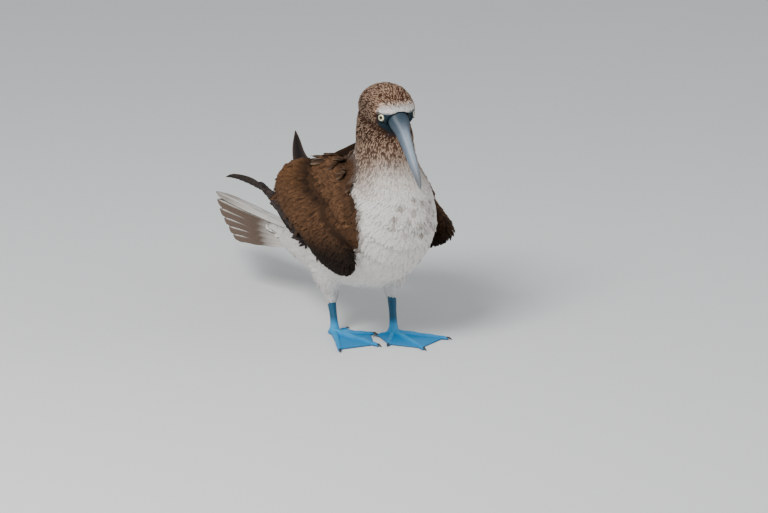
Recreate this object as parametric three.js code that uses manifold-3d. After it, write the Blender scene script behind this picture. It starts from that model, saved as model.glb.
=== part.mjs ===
// A blue-footed booby, life size, standing with its wings held a little out and drooped.
// Millimetres, +Z up. The bird faces -Y, its left side is +X, and its soles rest at Z = 0.
// The origin is under the middle of the whole bird. Coordinates here start between the
// feet, and the group is moved at the end. The flesh is modelled whole and parted with thin cuts.
import * as THREE from 'three';
import { mergeVertices } from 'three/addons/utils/BufferGeometryUtils.js';
import Module from 'manifold-3d';

const wasm = await Module();
wasm.setup();

// Driving dimensions
const GAP = 0.3;
const GRID = 0.001;

const TRUNK = {
  around: 28,
  along: 24,
  // back and breast give the outline from the side as [y, z], half is the half width
  stations: [
    { back: [186, 103], breast: [187, 88], half: 12 },
    { back: [176, 111], breast: [178, 81], half: 24 },
    { back: [150, 127], breast: [148, 75], half: 37 },
    { back: [118, 148], breast: [106, 69], half: 49 },
    { back: [88, 176], breast: [62, 65], half: 60 },
    { back: [62, 206], breast: [16, 66], half: 69 },
    { back: [42, 231], breast: [-34, 76], half: 74 },
    { back: [22, 246], breast: [-80, 99], half: 73 },
    { back: [6, 256], breast: [-111, 133], half: 69 },
    { back: [-3, 262], breast: [-125, 172], half: 61 },
    { back: [-8, 268], breast: [-119, 208], half: 51 },
    { back: [-10, 275], breast: [-107, 234], half: 43 },
    { back: [-11, 285], breast: [-98, 256], half: 38 },
    { back: [-11, 299], breast: [-94, 275], half: 36 },
    { back: [-13, 318], breast: [-90, 291], half: 34 },
    { back: [-18, 334], breast: [-82, 304], half: 30 },
    { back: [-30, 346], breast: [-70, 318], half: 20 },
  ],
};
const NECK_CUT = { y: -58, z: 246, lean: 24 };
const HEAD_CUT = { y: -50, z: 303, lean: 12 };

const HEAD = {
  around: 20,
  along: 14,
  pivot: [-1, -60],
  turn: -9,
  // crown and throat give the outline from the side before the head is turned
  stations: [
    { back: [-12, 337], breast: [-15, 330], half: 8 },
    { back: [-14, 344], breast: [-22, 314], half: 21 },
    { back: [-25, 353], breast: [-36, 300], half: 27.5 },
    { back: [-42, 359.5], breast: [-52, 296], half: 30 },
    { back: [-60, 362.5], breast: [-64, 298], half: 30.5 },
    { back: [-76, 362], breast: [-71, 300], half: 30.5 },
    { back: [-90, 354], breast: [-77, 302], half: 29.5 },
    { back: [-99, 344], breast: [-82, 303], half: 26 },
    { back: [-104, 335], breast: [-86, 305], half: 20 },
  ],
};
const EYE = { radius: 7.4, apart: 53, y: -88, z: 326, sunk: 7.4, around: 14, along: 9 };
const LID = { radius: 6.3, thick: 1.4, out: 4.4, sides: 4, steps: 12, forward: 20 };
const MOUTH = { back: 30, gap: 0.7, deep: 2.6, wide: 90 };

const BILL = {
  around: 16,
  along: 14,
  root: [-96, 324],
  pitch: 47,
  length: 104,
  cutLift: -4.7,
  // along runs from the face to the tip; half is the half width, over and under the height
  stations: [
    { along: -8, half: 14.8, over: 10, under: 15.8 },
    { along: 4, half: 13.8, over: 9.8, under: 14.8 },
    { along: 22, half: 9.6, over: 9, under: 11.6 },
    { along: 45, half: 7.1, over: 7.4, under: 8.9 },
    { along: 68, half: 5.6, over: 6.4, under: 7.1 },
    { along: 86, half: 4.2, over: 5.2, under: 5.8 },
    { along: 97, half: 2.7, over: 3.2, under: 5.1 },
    { along: 104, half: 0.9, over: -1, under: 3.5 },
  ],
};

const THIGH = { around: 16, along: 9 };
const LEG = { around: 12, along: 7 };
const LEGS = {
  right: { side: -1, hip: [-33, 34, 104], knee: [-33, 37, 74], heel: [-30.5, 34, 50],
    hock: [-31, 32, 40], ankle: [-33.4, 21.7, 12], bearing: 14 },
  left: { side: 1, hip: [38, 8, 104], knee: [39, -4, 76], heel: [37.5, -10, 56],
    hock: [36.5, -13, 45], ankle: [33.4, -21.7, 12], bearing: 3 },
};
const FOOT = {
  web: 2.6,
  around: 8,
  along: 7,
  // turned is each toe's angle from the middle toe, positive outward from the body
  toes: [
    { name: 'outer', turned: 41, length: 80, thick: 4.1 },
    { name: 'middle', turned: 0, length: 84, thick: 4.3 },
    { name: 'inner', turned: -38, length: 56, thick: 4 },
    { name: 'hind', turned: -92, length: 27, thick: 3.4 },
  ],
  heelBack: 9,
  webReach: 0.9,
};

// Feathers are flat vanes of a diamond section: along is their rows, thick half their depth
const VANE = { along: 5, thick: 0.75 };
const QUILL_SHAPE = [0.55, 0.92, 1, 0.86, 0.16];
const ROUND_SHAPE = [0.6, 1, 1.1, 0.95, 0.3];
const TAIL = {
  coreAround: 12,
  coreAlong: 8,
  ridge: 108,
  rise: 3,
  root: 164,
  roof: 33,
  layer: 1.7,
  // from the middle pair outward: length, the root's and the tip's way from the middle line
  quills: [
    { length: 216, from: 3, to: 4, half: 12 },
    { length: 200, from: 6, to: 13, half: 14 },
    { length: 179, from: 9.5, to: 23, half: 14 },
    { length: 155, from: 13, to: 32, half: 13.5 },
    { length: 131, from: 16.5, to: 40, half: 13 },
    { length: 110, from: 20, to: 47, half: 11 },
  ],
};
// The middle of the whole bird on the floor, seen from above, is the origin of the model
const MIDDLE = [6.5, 107.5];

// Small helpers
const vec = (p) => new THREE.Vector3(...p);
const rad = THREE.MathUtils.degToRad;

function spline(points) {
  return new THREE.CatmullRomCurve3(points, false, 'centripetal');
}

function solid(geometry) {
  const bare = geometry.clone();
  bare.deleteAttribute('normal');
  bare.deleteAttribute('uv');
  const merged = mergeVertices(bare, 1e-4);
  const mesh = new wasm.Mesh({
    numProp: 3,
    vertProperties: new Float32Array(merged.attributes.position.array),
    triVerts: new Uint32Array(merged.index.array),
  });
  return new wasm.Manifold(mesh);
}

// The largest closed surface of a solid
function largest(whole) {
  const pieces = whole.decompose();
  pieces.sort((a, b) => Math.abs(b.volume()) - Math.abs(a.volume()));
  return pieces[0];
}

function fused(pieces) {
  return pieces.reduce((sum, piece) => sum.add(piece));
}

// A closed form through stations: each has a centre and two half axes, across and up
function loft(stations, around, along, grow = 0) {
  const centres = spline(stations.map((s) => s.at));
  const acrosses = spline(stations.map((s) => s.across));
  const ups = spline(stations.map((s) => s.up));
  const geometry = new THREE.SphereGeometry(1, around, along);
  const place = geometry.attributes.position;
  for (let i = 0; i < place.count; i += 1) {
    const row = Math.floor(i / (around + 1));
    const column = (i % (around + 1)) % around;
    const isPole = row === 0 || row === along;
    const t = THREE.MathUtils.clamp((row - 1) / (along - 2), 0, 1);
    const centre = centres.getPoint(t);
    const beyond = (row <= 1 ? -grow : 0) + (row >= along - 1 ? grow : 0);
    centre.addScaledVector(centres.getTangent(t), beyond);
    const across = acrosses.getPoint(t);
    const up = ups.getPoint(t);
    across.setLength(across.length() + grow);
    up.setLength(up.length() + grow);
    const angle = (2 * Math.PI * column) / around;
    const point = centre.clone();
    if (!isPole) {
      point.addScaledVector(across, Math.sin(angle));
      point.addScaledVector(up, Math.cos(angle));
    }
    place.setXYZ(i, point.x, point.y, point.z);
  }
  const body = solid(geometry);
  return body.volume() < 0 ? solid(flipped(geometry)) : body;
}

function flipped(geometry) {
  const turned = geometry.clone();
  const index = turned.index.array;
  for (let i = 0; i < index.length; i += 3) {
    [index[i], index[i + 1]] = [index[i + 1], index[i]];
  }
  return turned;
}

// Stations from the outline seen from the side
function fromOutline(outline) {
  return outline.map(({ back, breast, half }) => {
    const over = new THREE.Vector3(0, ...back);
    const under = new THREE.Vector3(0, ...breast);
    return {
      at: over.clone().add(under).multiplyScalar(0.5),
      across: new THREE.Vector3(half, 0, 0),
      up: over.clone().sub(under).multiplyScalar(0.5),
    };
  });
}

function turnedAbout(stations, pivot, degrees) {
  const axis = new THREE.Vector3(0, 0, 1);
  const centre = new THREE.Vector3(pivot[0], pivot[1], 0);
  const sideways = new THREE.Vector3(pivot[0], 0, 0);
  return stations.map(({ at, across, up }) => ({
    at: at.clone().add(sideways).sub(centre).applyAxisAngle(axis, rad(degrees)).add(centre),
    across: across.clone().applyAxisAngle(axis, rad(degrees)),
    up: up.clone().applyAxisAngle(axis, rad(degrees)),
  }));
}

function turnedPoint(point, pivot, degrees) {
  const [moved] = turnedAbout([{ at: point, across: vec([1, 0, 0]), up: vec([0, 0, 1]) }],
    pivot, degrees);
  return moved.at;
}

// A plane that parts the flesh: its normal points to the head
function cutPlane({ y, z, lean }, turn = 0, shift = 0) {
  const normal = new THREE.Vector3(0, -Math.sin(rad(lean)), Math.cos(rad(lean)));
  normal.applyAxisAngle(new THREE.Vector3(0, 0, 1), rad(turn));
  return { normal: normal.toArray(), offset: normal.dot(new THREE.Vector3(0, y, z)) + shift };
}

function headSide(whole, cut, turn) {
  const { normal, offset } = cutPlane(cut, turn, GAP / 2);
  return whole.trimByPlane(normal, offset);
}

function tailSide(whole, cut, turn) {
  const { normal, offset } = cutPlane(cut, turn, -GAP / 2);
  return whole.trimByPlane(normal.map((n) => -n), -offset);
}

// Flesh of trunk, neck and head
function trunkForm(grow = 0) {
  return loft(fromOutline(TRUNK.stations), TRUNK.around, TRUNK.along, grow);
}

function headForm(grow = 0) {
  const stations = turnedAbout(fromOutline(HEAD.stations), HEAD.pivot, HEAD.turn);
  return loft(stations, HEAD.around, HEAD.along, grow);
}

// The bill's own frame: along points to the tip, over to the culmen
function billFrame() {
  const along = new THREE.Vector3(0, -Math.cos(rad(BILL.pitch)), -Math.sin(rad(BILL.pitch)));
  const over = new THREE.Vector3(0, -Math.sin(rad(BILL.pitch)), Math.cos(rad(BILL.pitch)));
  return { root: new THREE.Vector3(0, ...BILL.root), along, over };
}

function billStations() {
  const { root, along, over } = billFrame();
  const straight = BILL.stations.map((s) => ({
    at: root.clone().addScaledVector(along, s.along)
      .addScaledVector(over, (s.over - s.under) / 2),
    across: new THREE.Vector3(s.half, 0, 0),
    up: over.clone().multiplyScalar((s.over + s.under) / 2),
  }));
  return turnedAbout(straight, HEAD.pivot, HEAD.turn);
}

function billCut(side) {
  const { root, along, over } = billFrame();
  const point = turnedPoint(root.clone().addScaledVector(over, BILL.cutLift)
    .addScaledVector(over, (side * GAP) / 2), HEAD.pivot, HEAD.turn);
  const normal = over.clone().applyAxisAngle(new THREE.Vector3(0, 0, 1), rad(HEAD.turn));
  normal.multiplyScalar(side);
  return { normal: normal.toArray(), offset: normal.dot(point) };
}

function eyeCentre(side) {
  const straight = new THREE.Vector3(side * (EYE.apart / 2 - EYE.sunk), EYE.y, EYE.z);
  return turnedPoint(straight, HEAD.pivot, HEAD.turn);
}

function eyeball(side, grow = 0) {
  const geometry = new THREE.SphereGeometry(EYE.radius + grow, EYE.around, EYE.along);
  const centre = eyeCentre(side);
  geometry.translate(centre.x, centre.y, centre.z);
  return solid(geometry);
}

// Wings: each arm is one rounded form from the elbow down to the wrist, and the hand a blade
// that turns from upright at the wrist to nearly flat at its tip. The left one is held wider.
const ARM_STATIONS = [
  { at: [-56, 40, 238], across: [8, -2, 0], up: [-2, 14, 3] },
  { at: [-62, 41, 230], across: [15, -6, 2], up: [-4, 30, 6] },
  { at: [-69, 41, 213], across: [18, -9, 5], up: [-3, 45, 9] },
  { at: [-73, 34, 192], across: [19, -12, 6], up: [0, 56, 12] },
  { at: [-75, 8, 172], across: [19, -8, 3], up: [0, 68, 14] },
  { at: [-76, -18, 154], across: [19, -6, 0], up: [2, 72, 14] },
  { at: [-76, -34, 138], across: [18, -6, 0], up: [3, 60, 10] },
  { at: [-75, -40, 124], across: [14, -4, 0], up: [3, 44, 6] },
  { at: [-73, -42, 114], across: [6, -2, 0], up: [2, 20, 2] },
];
// The left arm is moved by shift, its middle is held out from the body, and its wrist drawn back
const LEFT_ARM = { shift: [2, 0, 14], held: 20, drawn: [-16, 16] };
const WINGS = {
  right: {
    side: -1,
    arm: ARM_STATIONS,
    hand: [
      { at: [-76, 30, 152], across: [0, 6, 26], up: [4, 0, 0] },
      { at: [-76, 96, 172], across: [-14, 2, 26], up: [3.5, 0, 1.5] },
      { at: [-62, 160, 181], across: [-20, 4, 15], up: [2.4, 0, 2.6] },
      { at: [-45, 220, 172], across: [-19, 4, 14], up: [1.6, 0, 2] },
      { at: [-26, 285, 157], across: [-12, 2, 9], up: [1.1, 0, 1.4] },
      { at: [-8, 345, 139], across: [-2, 0, 1.5], up: [0.6, 0, 0.8] },
    ],
  },
  left: {
    side: 1,
    arm: ARM_STATIONS.map(({ at, across, up }, i) => {
      const share = i / (ARM_STATIONS.length - 1);
      const out = LEFT_ARM.held * Math.sin(Math.PI * share) + LEFT_ARM.drawn[0] * share;
      const behind = LEFT_ARM.drawn[1] * share;
      const [x, y, z] = LEFT_ARM.shift;
      return {
        at: [x + out - at[0], at[1] + y + behind, at[2] + z],
        across: [-across[0], across[1], across[2]],
        up: [-up[0], up[1], up[2]],
      };
    }),
    hand: [
      { at: [82, 30, 154], across: [0, 6, 26], up: [-4, 0, 0] },
      { at: [82, 96, 154], across: [8, 0, 28], up: [-3.5, 0, 1] },
      { at: [74, 160, 148], across: [16, 3, 22], up: [-3, 0, 2.5] },
      { at: [64, 228, 152], across: [15, 2, 17], up: [-2, 0, 2] },
      { at: [66, 270, 170], across: [12, -8, 11], up: [-1.3, -0.8, 1.4] },
      { at: [80, 302, 203], across: [2, -1.4, 1], up: [-0.6, -0.6, 0.6] },
    ],
  },
};
const SHOULDERS = {
  right: [
    { at: [-55, -68, 176], across: [6, 0, 0], up: [0, -5, 4] },
    { at: [-56, -58, 192], across: [16, 0, 2], up: [0, -16, 12] },
    { at: [-52, -38, 211], across: [20, 0, 4], up: [0, -18, 20] },
    { at: [-47, -10, 224], across: [24, 0, 6], up: [0, -10, 24] },
    { at: [-44, 22, 227], across: [25, 0, 8], up: [0, 0, 24] },
    { at: [-42, 52, 217], across: [20, 0, 8], up: [0, 6, 18] },
    { at: [-40, 74, 204], across: [8, 0, 3], up: [0, 3, 7] },
  ],
};
SHOULDERS.left = SHOULDERS.right.map(({ at, across, up }) => ({
  at: [-at[0], at[1], at[2]],
  across: [-across[0], across[1], across[2]],
  up: [-up[0], up[1], up[2]],
}));
const ARM = { around: 16, along: 13 };
const HAND = { around: 12, along: 14 };

// Flight feathers of a hand: share of the blade where each ends, and its place across it
const PRIMARIES = [
  { to: 1, across: 0.1, half: 0.55 },
  { to: 0.91, across: -0.15, half: 0.55 },
  { to: 0.82, across: -0.35, half: 0.55 },
];
const PRIMARY = { from: 0.22, layer: 1.5 };
// Rows of feathers on an arm, from the elbow (0) to the wrist (1)
const ARM_ROWS = [
  { name: 'tertials', count: 3, from: 0.2, to: 0.34, behind: 0.74, out: -0.1, half: 14,
    long: [112, 96], heading: [0.42, 0.76, -0.5], shape: ROUND_SHAPE },
  { name: 'secondaries', count: 6, from: 0.42, to: 0.9, behind: 0.7, out: 0.1, half: 13,
    long: [98, 54], heading: [0.42, 0.78, -0.45], shape: ROUND_SHAPE },
  { name: 'greater coverts', count: 5, from: 0.26, to: 0.86, behind: 0.72, out: 0.45, half: 13,
    long: [52, 34], heading: [0.4, 0.76, -0.42], shape: ROUND_SHAPE },
];
const SCAPULARS = { rows: [0.36, 0.56, 0.76], across: [-0.5, 0.05, 0.6], up: 0.93,
  half: 14, long: [42, 56], lift: 0.34, heading: [0.05, 0.94, -0.32] };

function vectors(stations) {
  return stations.map((s) => ({ at: vec(s.at), across: vec(s.across), up: vec(s.up) }));
}

// The frame of a form part of the way along its stations
function frameAt(stations, t) {
  const [at, across, up] = ['at', 'across', 'up'].map((key) =>
    spline(stations.map((s) => s[key])).getPoint(t));
  return { at, across, up };
}

// One feather: a vane from its root to its tip, whose shape gives its width along the way
function vane(points, face, half, shape, grow = 0) {
  const curve = spline(points);
  const stations = shape.map((width, i) => {
    const t = i / (shape.length - 1);
    const heading = curve.getTangent(t);
    const across = new THREE.Vector3().crossVectors(heading, face).setLength(half * width);
    const up = new THREE.Vector3().crossVectors(across, heading).setLength(VANE.thick);
    return { at: curve.getPoint(t), across, up };
  });
  return loft(stations, 4, VANE.along, grow);
}

function armRow(wing, row, grow) {
  const stations = vectors(wing.arm);
  const heading = vec(row.heading);
  heading.x *= -wing.side;
  heading.normalize();
  return Array.from({ length: row.count }, (_, i) => {
    const share = i / (row.count - 1);
    const { at, across, up } = frameAt(stations, row.from + (row.to - row.from) * share);
    const out = across.clone().normalize().multiplyScalar(-1);
    const long = row.long[0] + (row.long[1] - row.long[0]) * share;
    const root = at.clone().addScaledVector(up, row.behind).addScaledVector(across, -row.out);
    const face = out.clone().addScaledVector(heading, -out.dot(heading)).normalize();
    face.addScaledVector(up.clone().normalize(), 0.12);
    const points = [0, 0.35, 0.7, 1].map((t) => root.clone().addScaledVector(heading, long * t)
      .addScaledVector(face, long * 0.1 * t * (1 - t)));
    return vane(points, face, row.half, row.shape, grow);
  });
}

function wingArm(wing, grow = 0) {
  const arm = loft(vectors(wing.arm), ARM.around, ARM.along, grow);
  return fused([arm, ...ARM_ROWS.flatMap((row) => armRow(wing, row, grow))]);
}

function shoulderForm(name, side, grow = 0) {
  const stations = vectors(SHOULDERS[name]);
  const heading = vec(SCAPULARS.heading);
  heading.x *= -side;
  heading.normalize();
  const feathers = SCAPULARS.rows.flatMap((t, row) => SCAPULARS.across.map((k, column) => {
    const { at, across, up } = frameAt(stations, t);
    const face = up.clone().normalize();
    const long = SCAPULARS.long[0] + (SCAPULARS.long[1] - SCAPULARS.long[0]) * (row / 2);
    const shift = (column % 2) * 6;
    const root = at.clone().addScaledVector(across, k).addScaledVector(up, SCAPULARS.up
      * Math.sqrt(1 - k * k * 0.8)).addScaledVector(heading, shift - 6);
    const points = [0, 0.5, 1].map((s) => root.clone().addScaledVector(heading, long * s)
      .addScaledVector(face, long * SCAPULARS.lift * s * (1 - s * 0.7)));
    return vane(points, face, SCAPULARS.half, ROUND_SHAPE, grow);
  }));
  return fused([loft(stations, ARM.around, ARM.along, grow), ...feathers]);
}

function wingHand(wing) {
  const stations = vectors(wing.hand);
  const core = stations.slice(0, 4).map((s, i) => ({
    at: s.at,
    across: s.across.clone().multiplyScalar([1, 1, 0.8, 0.3][i]),
    up: s.up,
  }));
  const feathers = PRIMARIES.map((quill, i) => {
    const spots = [0, 0.25, 0.5, 0.75, 1].map((share) => {
      const t = PRIMARY.from + (quill.to - PRIMARY.from) * share;
      const { at, across, up } = frameAt(stations, t);
      return { at: at.addScaledVector(across, quill.across).addScaledVector(
        up.clone().normalize(), -PRIMARY.layer * i), across, up };
    });
    const parts = QUILL_SHAPE.map((width, k) => ({
      at: spots[k].at,
      across: spots[k].across.clone().multiplyScalar(quill.half * [1, 1, 1, 1.05, 0.5][k]),
      up: spots[k].up.clone().setLength(VANE.thick * [1.6, 1.3, 1.1, 1, 0.8][k]),
    }));
    return loft(parts, 4, VANE.along + 1);
  });
  return fused([loft(core, HAND.around, HAND.along), ...feathers]);
}

// Feet: a web between toes that are ridges on it, all on one flat sole
function toeTips(leg) {
  const ankle = new THREE.Vector3(leg.ankle[0], leg.ankle[1], 0);
  return FOOT.toes.map((toe) => {
    const outward = rad(toe.turned) * leg.side - rad(leg.bearing) * leg.side;
    const heading = new THREE.Vector3(Math.sin(outward), -Math.cos(outward), 0);
    return { ...toe, heading, root: ankle, tip: ankle.clone().addScaledVector(heading, toe.length) };
  });
}

function slab(outline, height) {
  const shape = new THREE.Shape(outline.map((p) => new THREE.Vector2(p.x, p.y)));
  return solid(new THREE.ExtrudeGeometry(shape, { depth: height, bevelEnabled: false }));
}

function toeForm(toe) {
  const stations = [0, 0.35, 0.7, 0.93, 1].map((share, i) => {
    const radius = toe.thick * [1.25, 1, 0.86, 0.8, 0.5][i];
    return {
      at: toe.root.clone().lerp(toe.tip, share).setZ(radius * 0.55),
      across: new THREE.Vector3(-toe.heading.y, toe.heading.x, 0).multiplyScalar(radius * 0.9),
      up: new THREE.Vector3(0, 0, radius),
    };
  });
  return loft(stations, FOOT.around, FOOT.along);
}

function footForm(leg) {
  const toes = toeTips(leg);
  const webPoints = [];
  toes.forEach((toe, i) => {
    webPoints.push(toe.root.clone().lerp(toe.tip, FOOT.webReach));
    const next = toes[i + 1];
    if (next) {
      const middle = toe.tip.clone().add(next.tip).multiplyScalar(0.5);
      webPoints.push(toe.root.clone().lerp(middle, 0.9));
    }
  });
  const heel = toes[0].root.clone().addScaledVector(toes[1].heading, -FOOT.heelBack);
  webPoints.push(heel);
  const ankle = vec(leg.ankle);
  const joint = loft([
    { at: new THREE.Vector3(ankle.x, ankle.y + 2, 1), across: new THREE.Vector3(8, 0, 0),
      up: new THREE.Vector3(0, 11, 0) },
    { at: new THREE.Vector3(ankle.x, ankle.y, 9), across: new THREE.Vector3(6.6, 0, 0),
      up: new THREE.Vector3(0, 7.4, 0) },
    { at: new THREE.Vector3(ankle.x, ankle.y + 0.6, 16), across: new THREE.Vector3(5.6, 0, 0),
      up: new THREE.Vector3(0, 6, 0) },
  ], LEG.around, LEG.along);
  const whole = fused([slab(webPoints, FOOT.web), joint, ...toes.map(toeForm)]);
  return largest(whole.trimByPlane([0, 0, 1], 0).trimByPlane([0, 0, -1], -15));
}

function legForm(leg) {
  const ankle = vec(leg.ankle);
  const hock = vec(leg.hock);
  const heel = vec(leg.heel);
  return loft([
    { at: ankle.clone().setZ(15 + GAP), across: new THREE.Vector3(5.6, 0, 0),
      up: new THREE.Vector3(0, 6, 0) },
    { at: ankle.clone().lerp(hock, 0.4).setZ(26), across: new THREE.Vector3(5.2, 0, 0),
      up: new THREE.Vector3(0, 6.2, 0) },
    { at: hock, across: new THREE.Vector3(5.8, 0, 0), up: new THREE.Vector3(0, 7, 0) },
    { at: heel, across: new THREE.Vector3(6.4, 0, 0), up: new THREE.Vector3(0, 7.6, 0) },
  ], LEG.around, LEG.along);
}

function thighForm(leg) {
  const hip = vec(leg.hip);
  const knee = vec(leg.knee);
  const heel = vec(leg.heel);
  return loft([
    { at: hip, across: new THREE.Vector3(26, 0, 0), up: new THREE.Vector3(0, 40, 0) },
    { at: knee, across: new THREE.Vector3(19, 0, 0), up: new THREE.Vector3(0, 27, 0) },
    { at: heel.clone().lerp(knee, 0.3), across: new THREE.Vector3(12, 0, 0),
      up: new THREE.Vector3(0, 15, 0) },
    { at: heel.clone().setZ(heel.z - 6), across: new THREE.Vector3(8, 0, 0),
      up: new THREE.Vector3(0, 9.4, 0) },
  ], THIGH.around, THIGH.along);
}

// The tail, a wedge of graduated feathers that droops like a roof to each side
function tailQuill(side, quill, i) {
  const slope = rad(i === 0 ? TAIL.roof / 3 : TAIL.roof);
  const face = new THREE.Vector3(side * Math.sin(slope), 0, Math.cos(slope));
  const outward = new THREE.Vector3(side * Math.cos(rad(TAIL.roof)), 0, -Math.sin(rad(TAIL.roof)));
  const points = [0, 0.33, 0.66, 1].map((t) => new THREE.Vector3(0, TAIL.root + quill.length * t,
    TAIL.ridge + TAIL.rise * t - TAIL.layer * i)
    .addScaledVector(outward, quill.from + (quill.to - quill.from) * t)
    .addScaledVector(face, side > 0 && i === 0 ? -TAIL.layer : 0));
  return vane(points, face, quill.half, QUILL_SHAPE);
}

function tailForm() {
  const core = loft([
    { at: vec([0, 168, 97]), across: vec([22, 0, 0]), up: vec([0, 0, 10]) },
    { at: vec([0, 186, 97]), across: vec([25, 0, 0]), up: vec([0, 0, 9]) },
    { at: vec([0, 206, 98]), across: vec([26, 0, 0]), up: vec([0, 0, 7.5]) },
    { at: vec([0, 224, 99]), across: vec([18, 0, 0]), up: vec([0, 0, 4]) },
  ], TAIL.coreAround, TAIL.coreAlong);
  const quills = [-1, 1].flatMap((side) => TAIL.quills.map((q, i) => tailQuill(side, q, i)));
  return fused([core, ...quills]);
}

// Materials
function finish(colour, roughness) {
  return new THREE.MeshStandardMaterial({ color: colour, roughness, metalness: 0 });
}
const WHITE_DOWN = finish(0xe9e6e1, 0.9);
const NECK_DOWN = finish(0xb39b86, 0.9);
const HEAD_DOWN = finish(0x8a6347, 0.9);
const BROWN_COVERTS = finish(0x5a3a26, 0.85);
const DARK_QUILLS = finish(0x33281f, 0.7);
const TAIL_VANES = finish(0x9a8a7c, 0.8);
const BLUE_SKIN = finish(0x2f9ccf, 0.5);
const BILL_HORN = finish(0x77839a, 0.4);
const EYE_RING = finish(0xe4dca0, 0.15);

const model = new THREE.Group();
model.position.set(-MIDDLE[0], -MIDDLE[1], 0);

// Points are set on a fine grid and points that fall together are welded
function welded(mesh) {
  const places = new Map();
  const points = [];
  const renumbered = [];
  for (let i = 0; i < mesh.vertProperties.length; i += 3) {
    const snapped = Array.from(mesh.vertProperties.slice(i, i + 3), (c) => Math.round(c / GRID));
    const key = snapped.join();
    if (!places.has(key)) {
      places.set(key, points.length / 3);
      points.push(...snapped.map((c) => c * GRID));
    }
    renumbered.push(places.get(key));
  }
  const triangles = [];
  for (let i = 0; i < mesh.triVerts.length; i += 3) {
    const [a, b, c] = Array.from(mesh.triVerts.slice(i, i + 3), (v) => renumbered[v]);
    if (a !== b && b !== c && c !== a) {
      triangles.push(a, b, c);
    }
  }
  return { points, triangles };
}

function show(name, whole, material) {
  const { points, triangles } = welded(whole.getMesh());
  const geometry = new THREE.BufferGeometry();
  geometry.setAttribute('position', new THREE.Float32BufferAttribute(points, 3));
  geometry.setIndex(triangles);
  const node = new THREE.Mesh(geometry, material);
  node.name = name;
  model.add(node);
}

// Lids are a thin raised ring at each eye, and the mouth's line runs back under it
function lid(side) {
  const ring = new THREE.TorusGeometry(LID.radius, LID.thick, LID.sides, LID.steps);
  ring.rotateY(Math.PI / 2);
  ring.rotateZ(rad(HEAD.turn - side * LID.forward));
  const out = new THREE.Vector3(side * LID.out, 0, 0).applyAxisAngle(new THREE.Vector3(0, 0, 1),
    rad(HEAD.turn - side * LID.forward));
  const centre = eyeCentre(side).add(out);
  ring.translate(centre.x, centre.y, centre.z);
  return solid(ring);
}

function mouthLine() {
  const { root, along, over } = billFrame();
  const groove = new THREE.BoxGeometry(MOUTH.wide, MOUTH.back * 2, MOUTH.gap);
  groove.rotateX(rad(BILL.pitch));
  const centre = root.clone().addScaledVector(over, BILL.cutLift);
  groove.translate(centre.x, centre.y, centre.z);
  groove.translate(-HEAD.pivot[0], -HEAD.pivot[1], 0);
  groove.rotateZ(rad(HEAD.turn));
  groove.translate(2 * HEAD.pivot[0], HEAD.pivot[1], 0);
  return solid(groove).subtract(headForm(-MOUTH.deep));
}

// Assembly
const flesh = trunkForm().add(headForm());
const fleshClear = trunkForm(GAP).add(headForm(GAP));
const eyesClear = eyeball(-1, GAP).add(eyeball(1, GAP));
const billWhole = loft(billStations(), BILL.around, BILL.along).subtract(eyesClear);
const billClear = loft(billStations(), BILL.around, BILL.along, GAP);

show('torso', largest(tailSide(flesh, NECK_CUT)), WHITE_DOWN);
show('neck', largest(tailSide(headSide(flesh, NECK_CUT), HEAD_CUT)), NECK_DOWN);
const head = headSide(flesh, HEAD_CUT).add(lid(-1)).add(lid(1)).subtract(mouthLine())
  .subtract(billClear).subtract(eyesClear);
show('head', largest(head), HEAD_DOWN);
show('eye_right', eyeball(-1), EYE_RING);
show('eye_left', eyeball(1), EYE_RING);
const upper = billCut(1);
const lower = billCut(-1);
show('bill_upper', largest(billWhole.trimByPlane(upper.normal, upper.offset)), BILL_HORN);
show('bill_lower', largest(billWhole.trimByPlane(lower.normal, lower.offset)), BILL_HORN);

Object.entries(LEGS).forEach(([name, leg]) => {
  const shank = legForm(leg);
  const thigh = thighForm(leg).subtract(trunkForm(GAP));
  const bare = shank.subtract(thighForm(leg));
  show(`thigh_${name}`, largest(thigh), WHITE_DOWN);
  show(`leg_${name}`, largest(bare.subtract(trunkForm(GAP))), BLUE_SKIN);
  show(`foot_${name}`, footForm(leg), BLUE_SKIN);
});

Object.entries(WINGS).forEach(([name, wing]) => {
  const shoulderClear = shoulderForm(name, wing.side, GAP);
  const armClear = wingArm(wing, GAP);
  const shoulder = shoulderForm(name, wing.side).subtract(fleshClear.add(armClear));
  show(`shoulder_${name}`, largest(shoulder), BROWN_COVERTS);
  show(`wing_${name}_arm`, largest(wingArm(wing).subtract(fleshClear)), BROWN_COVERTS);
  const hand = wingHand(wing).subtract(fused([armClear, shoulderClear, fleshClear]));
  show(`wing_${name}_hand`, largest(hand), DARK_QUILLS);
});

show('tail', largest(tailForm().subtract(trunkForm(GAP))), TAIL_VANES);

export default model;
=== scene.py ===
"""A blue-footed booby, life size, standing with both wings held a little out and drooped.

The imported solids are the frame, in metres with +Z up: the bird faces -Y, its left side is +X and
its soles are at Z = 0. Sizes here are millimetres from the floor between the feet.
"""
import math

import bmesh
import bpy
import numpy as np
from mathutils import Matrix, Vector
from mathutils.bvhtree import BVHTree


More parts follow.
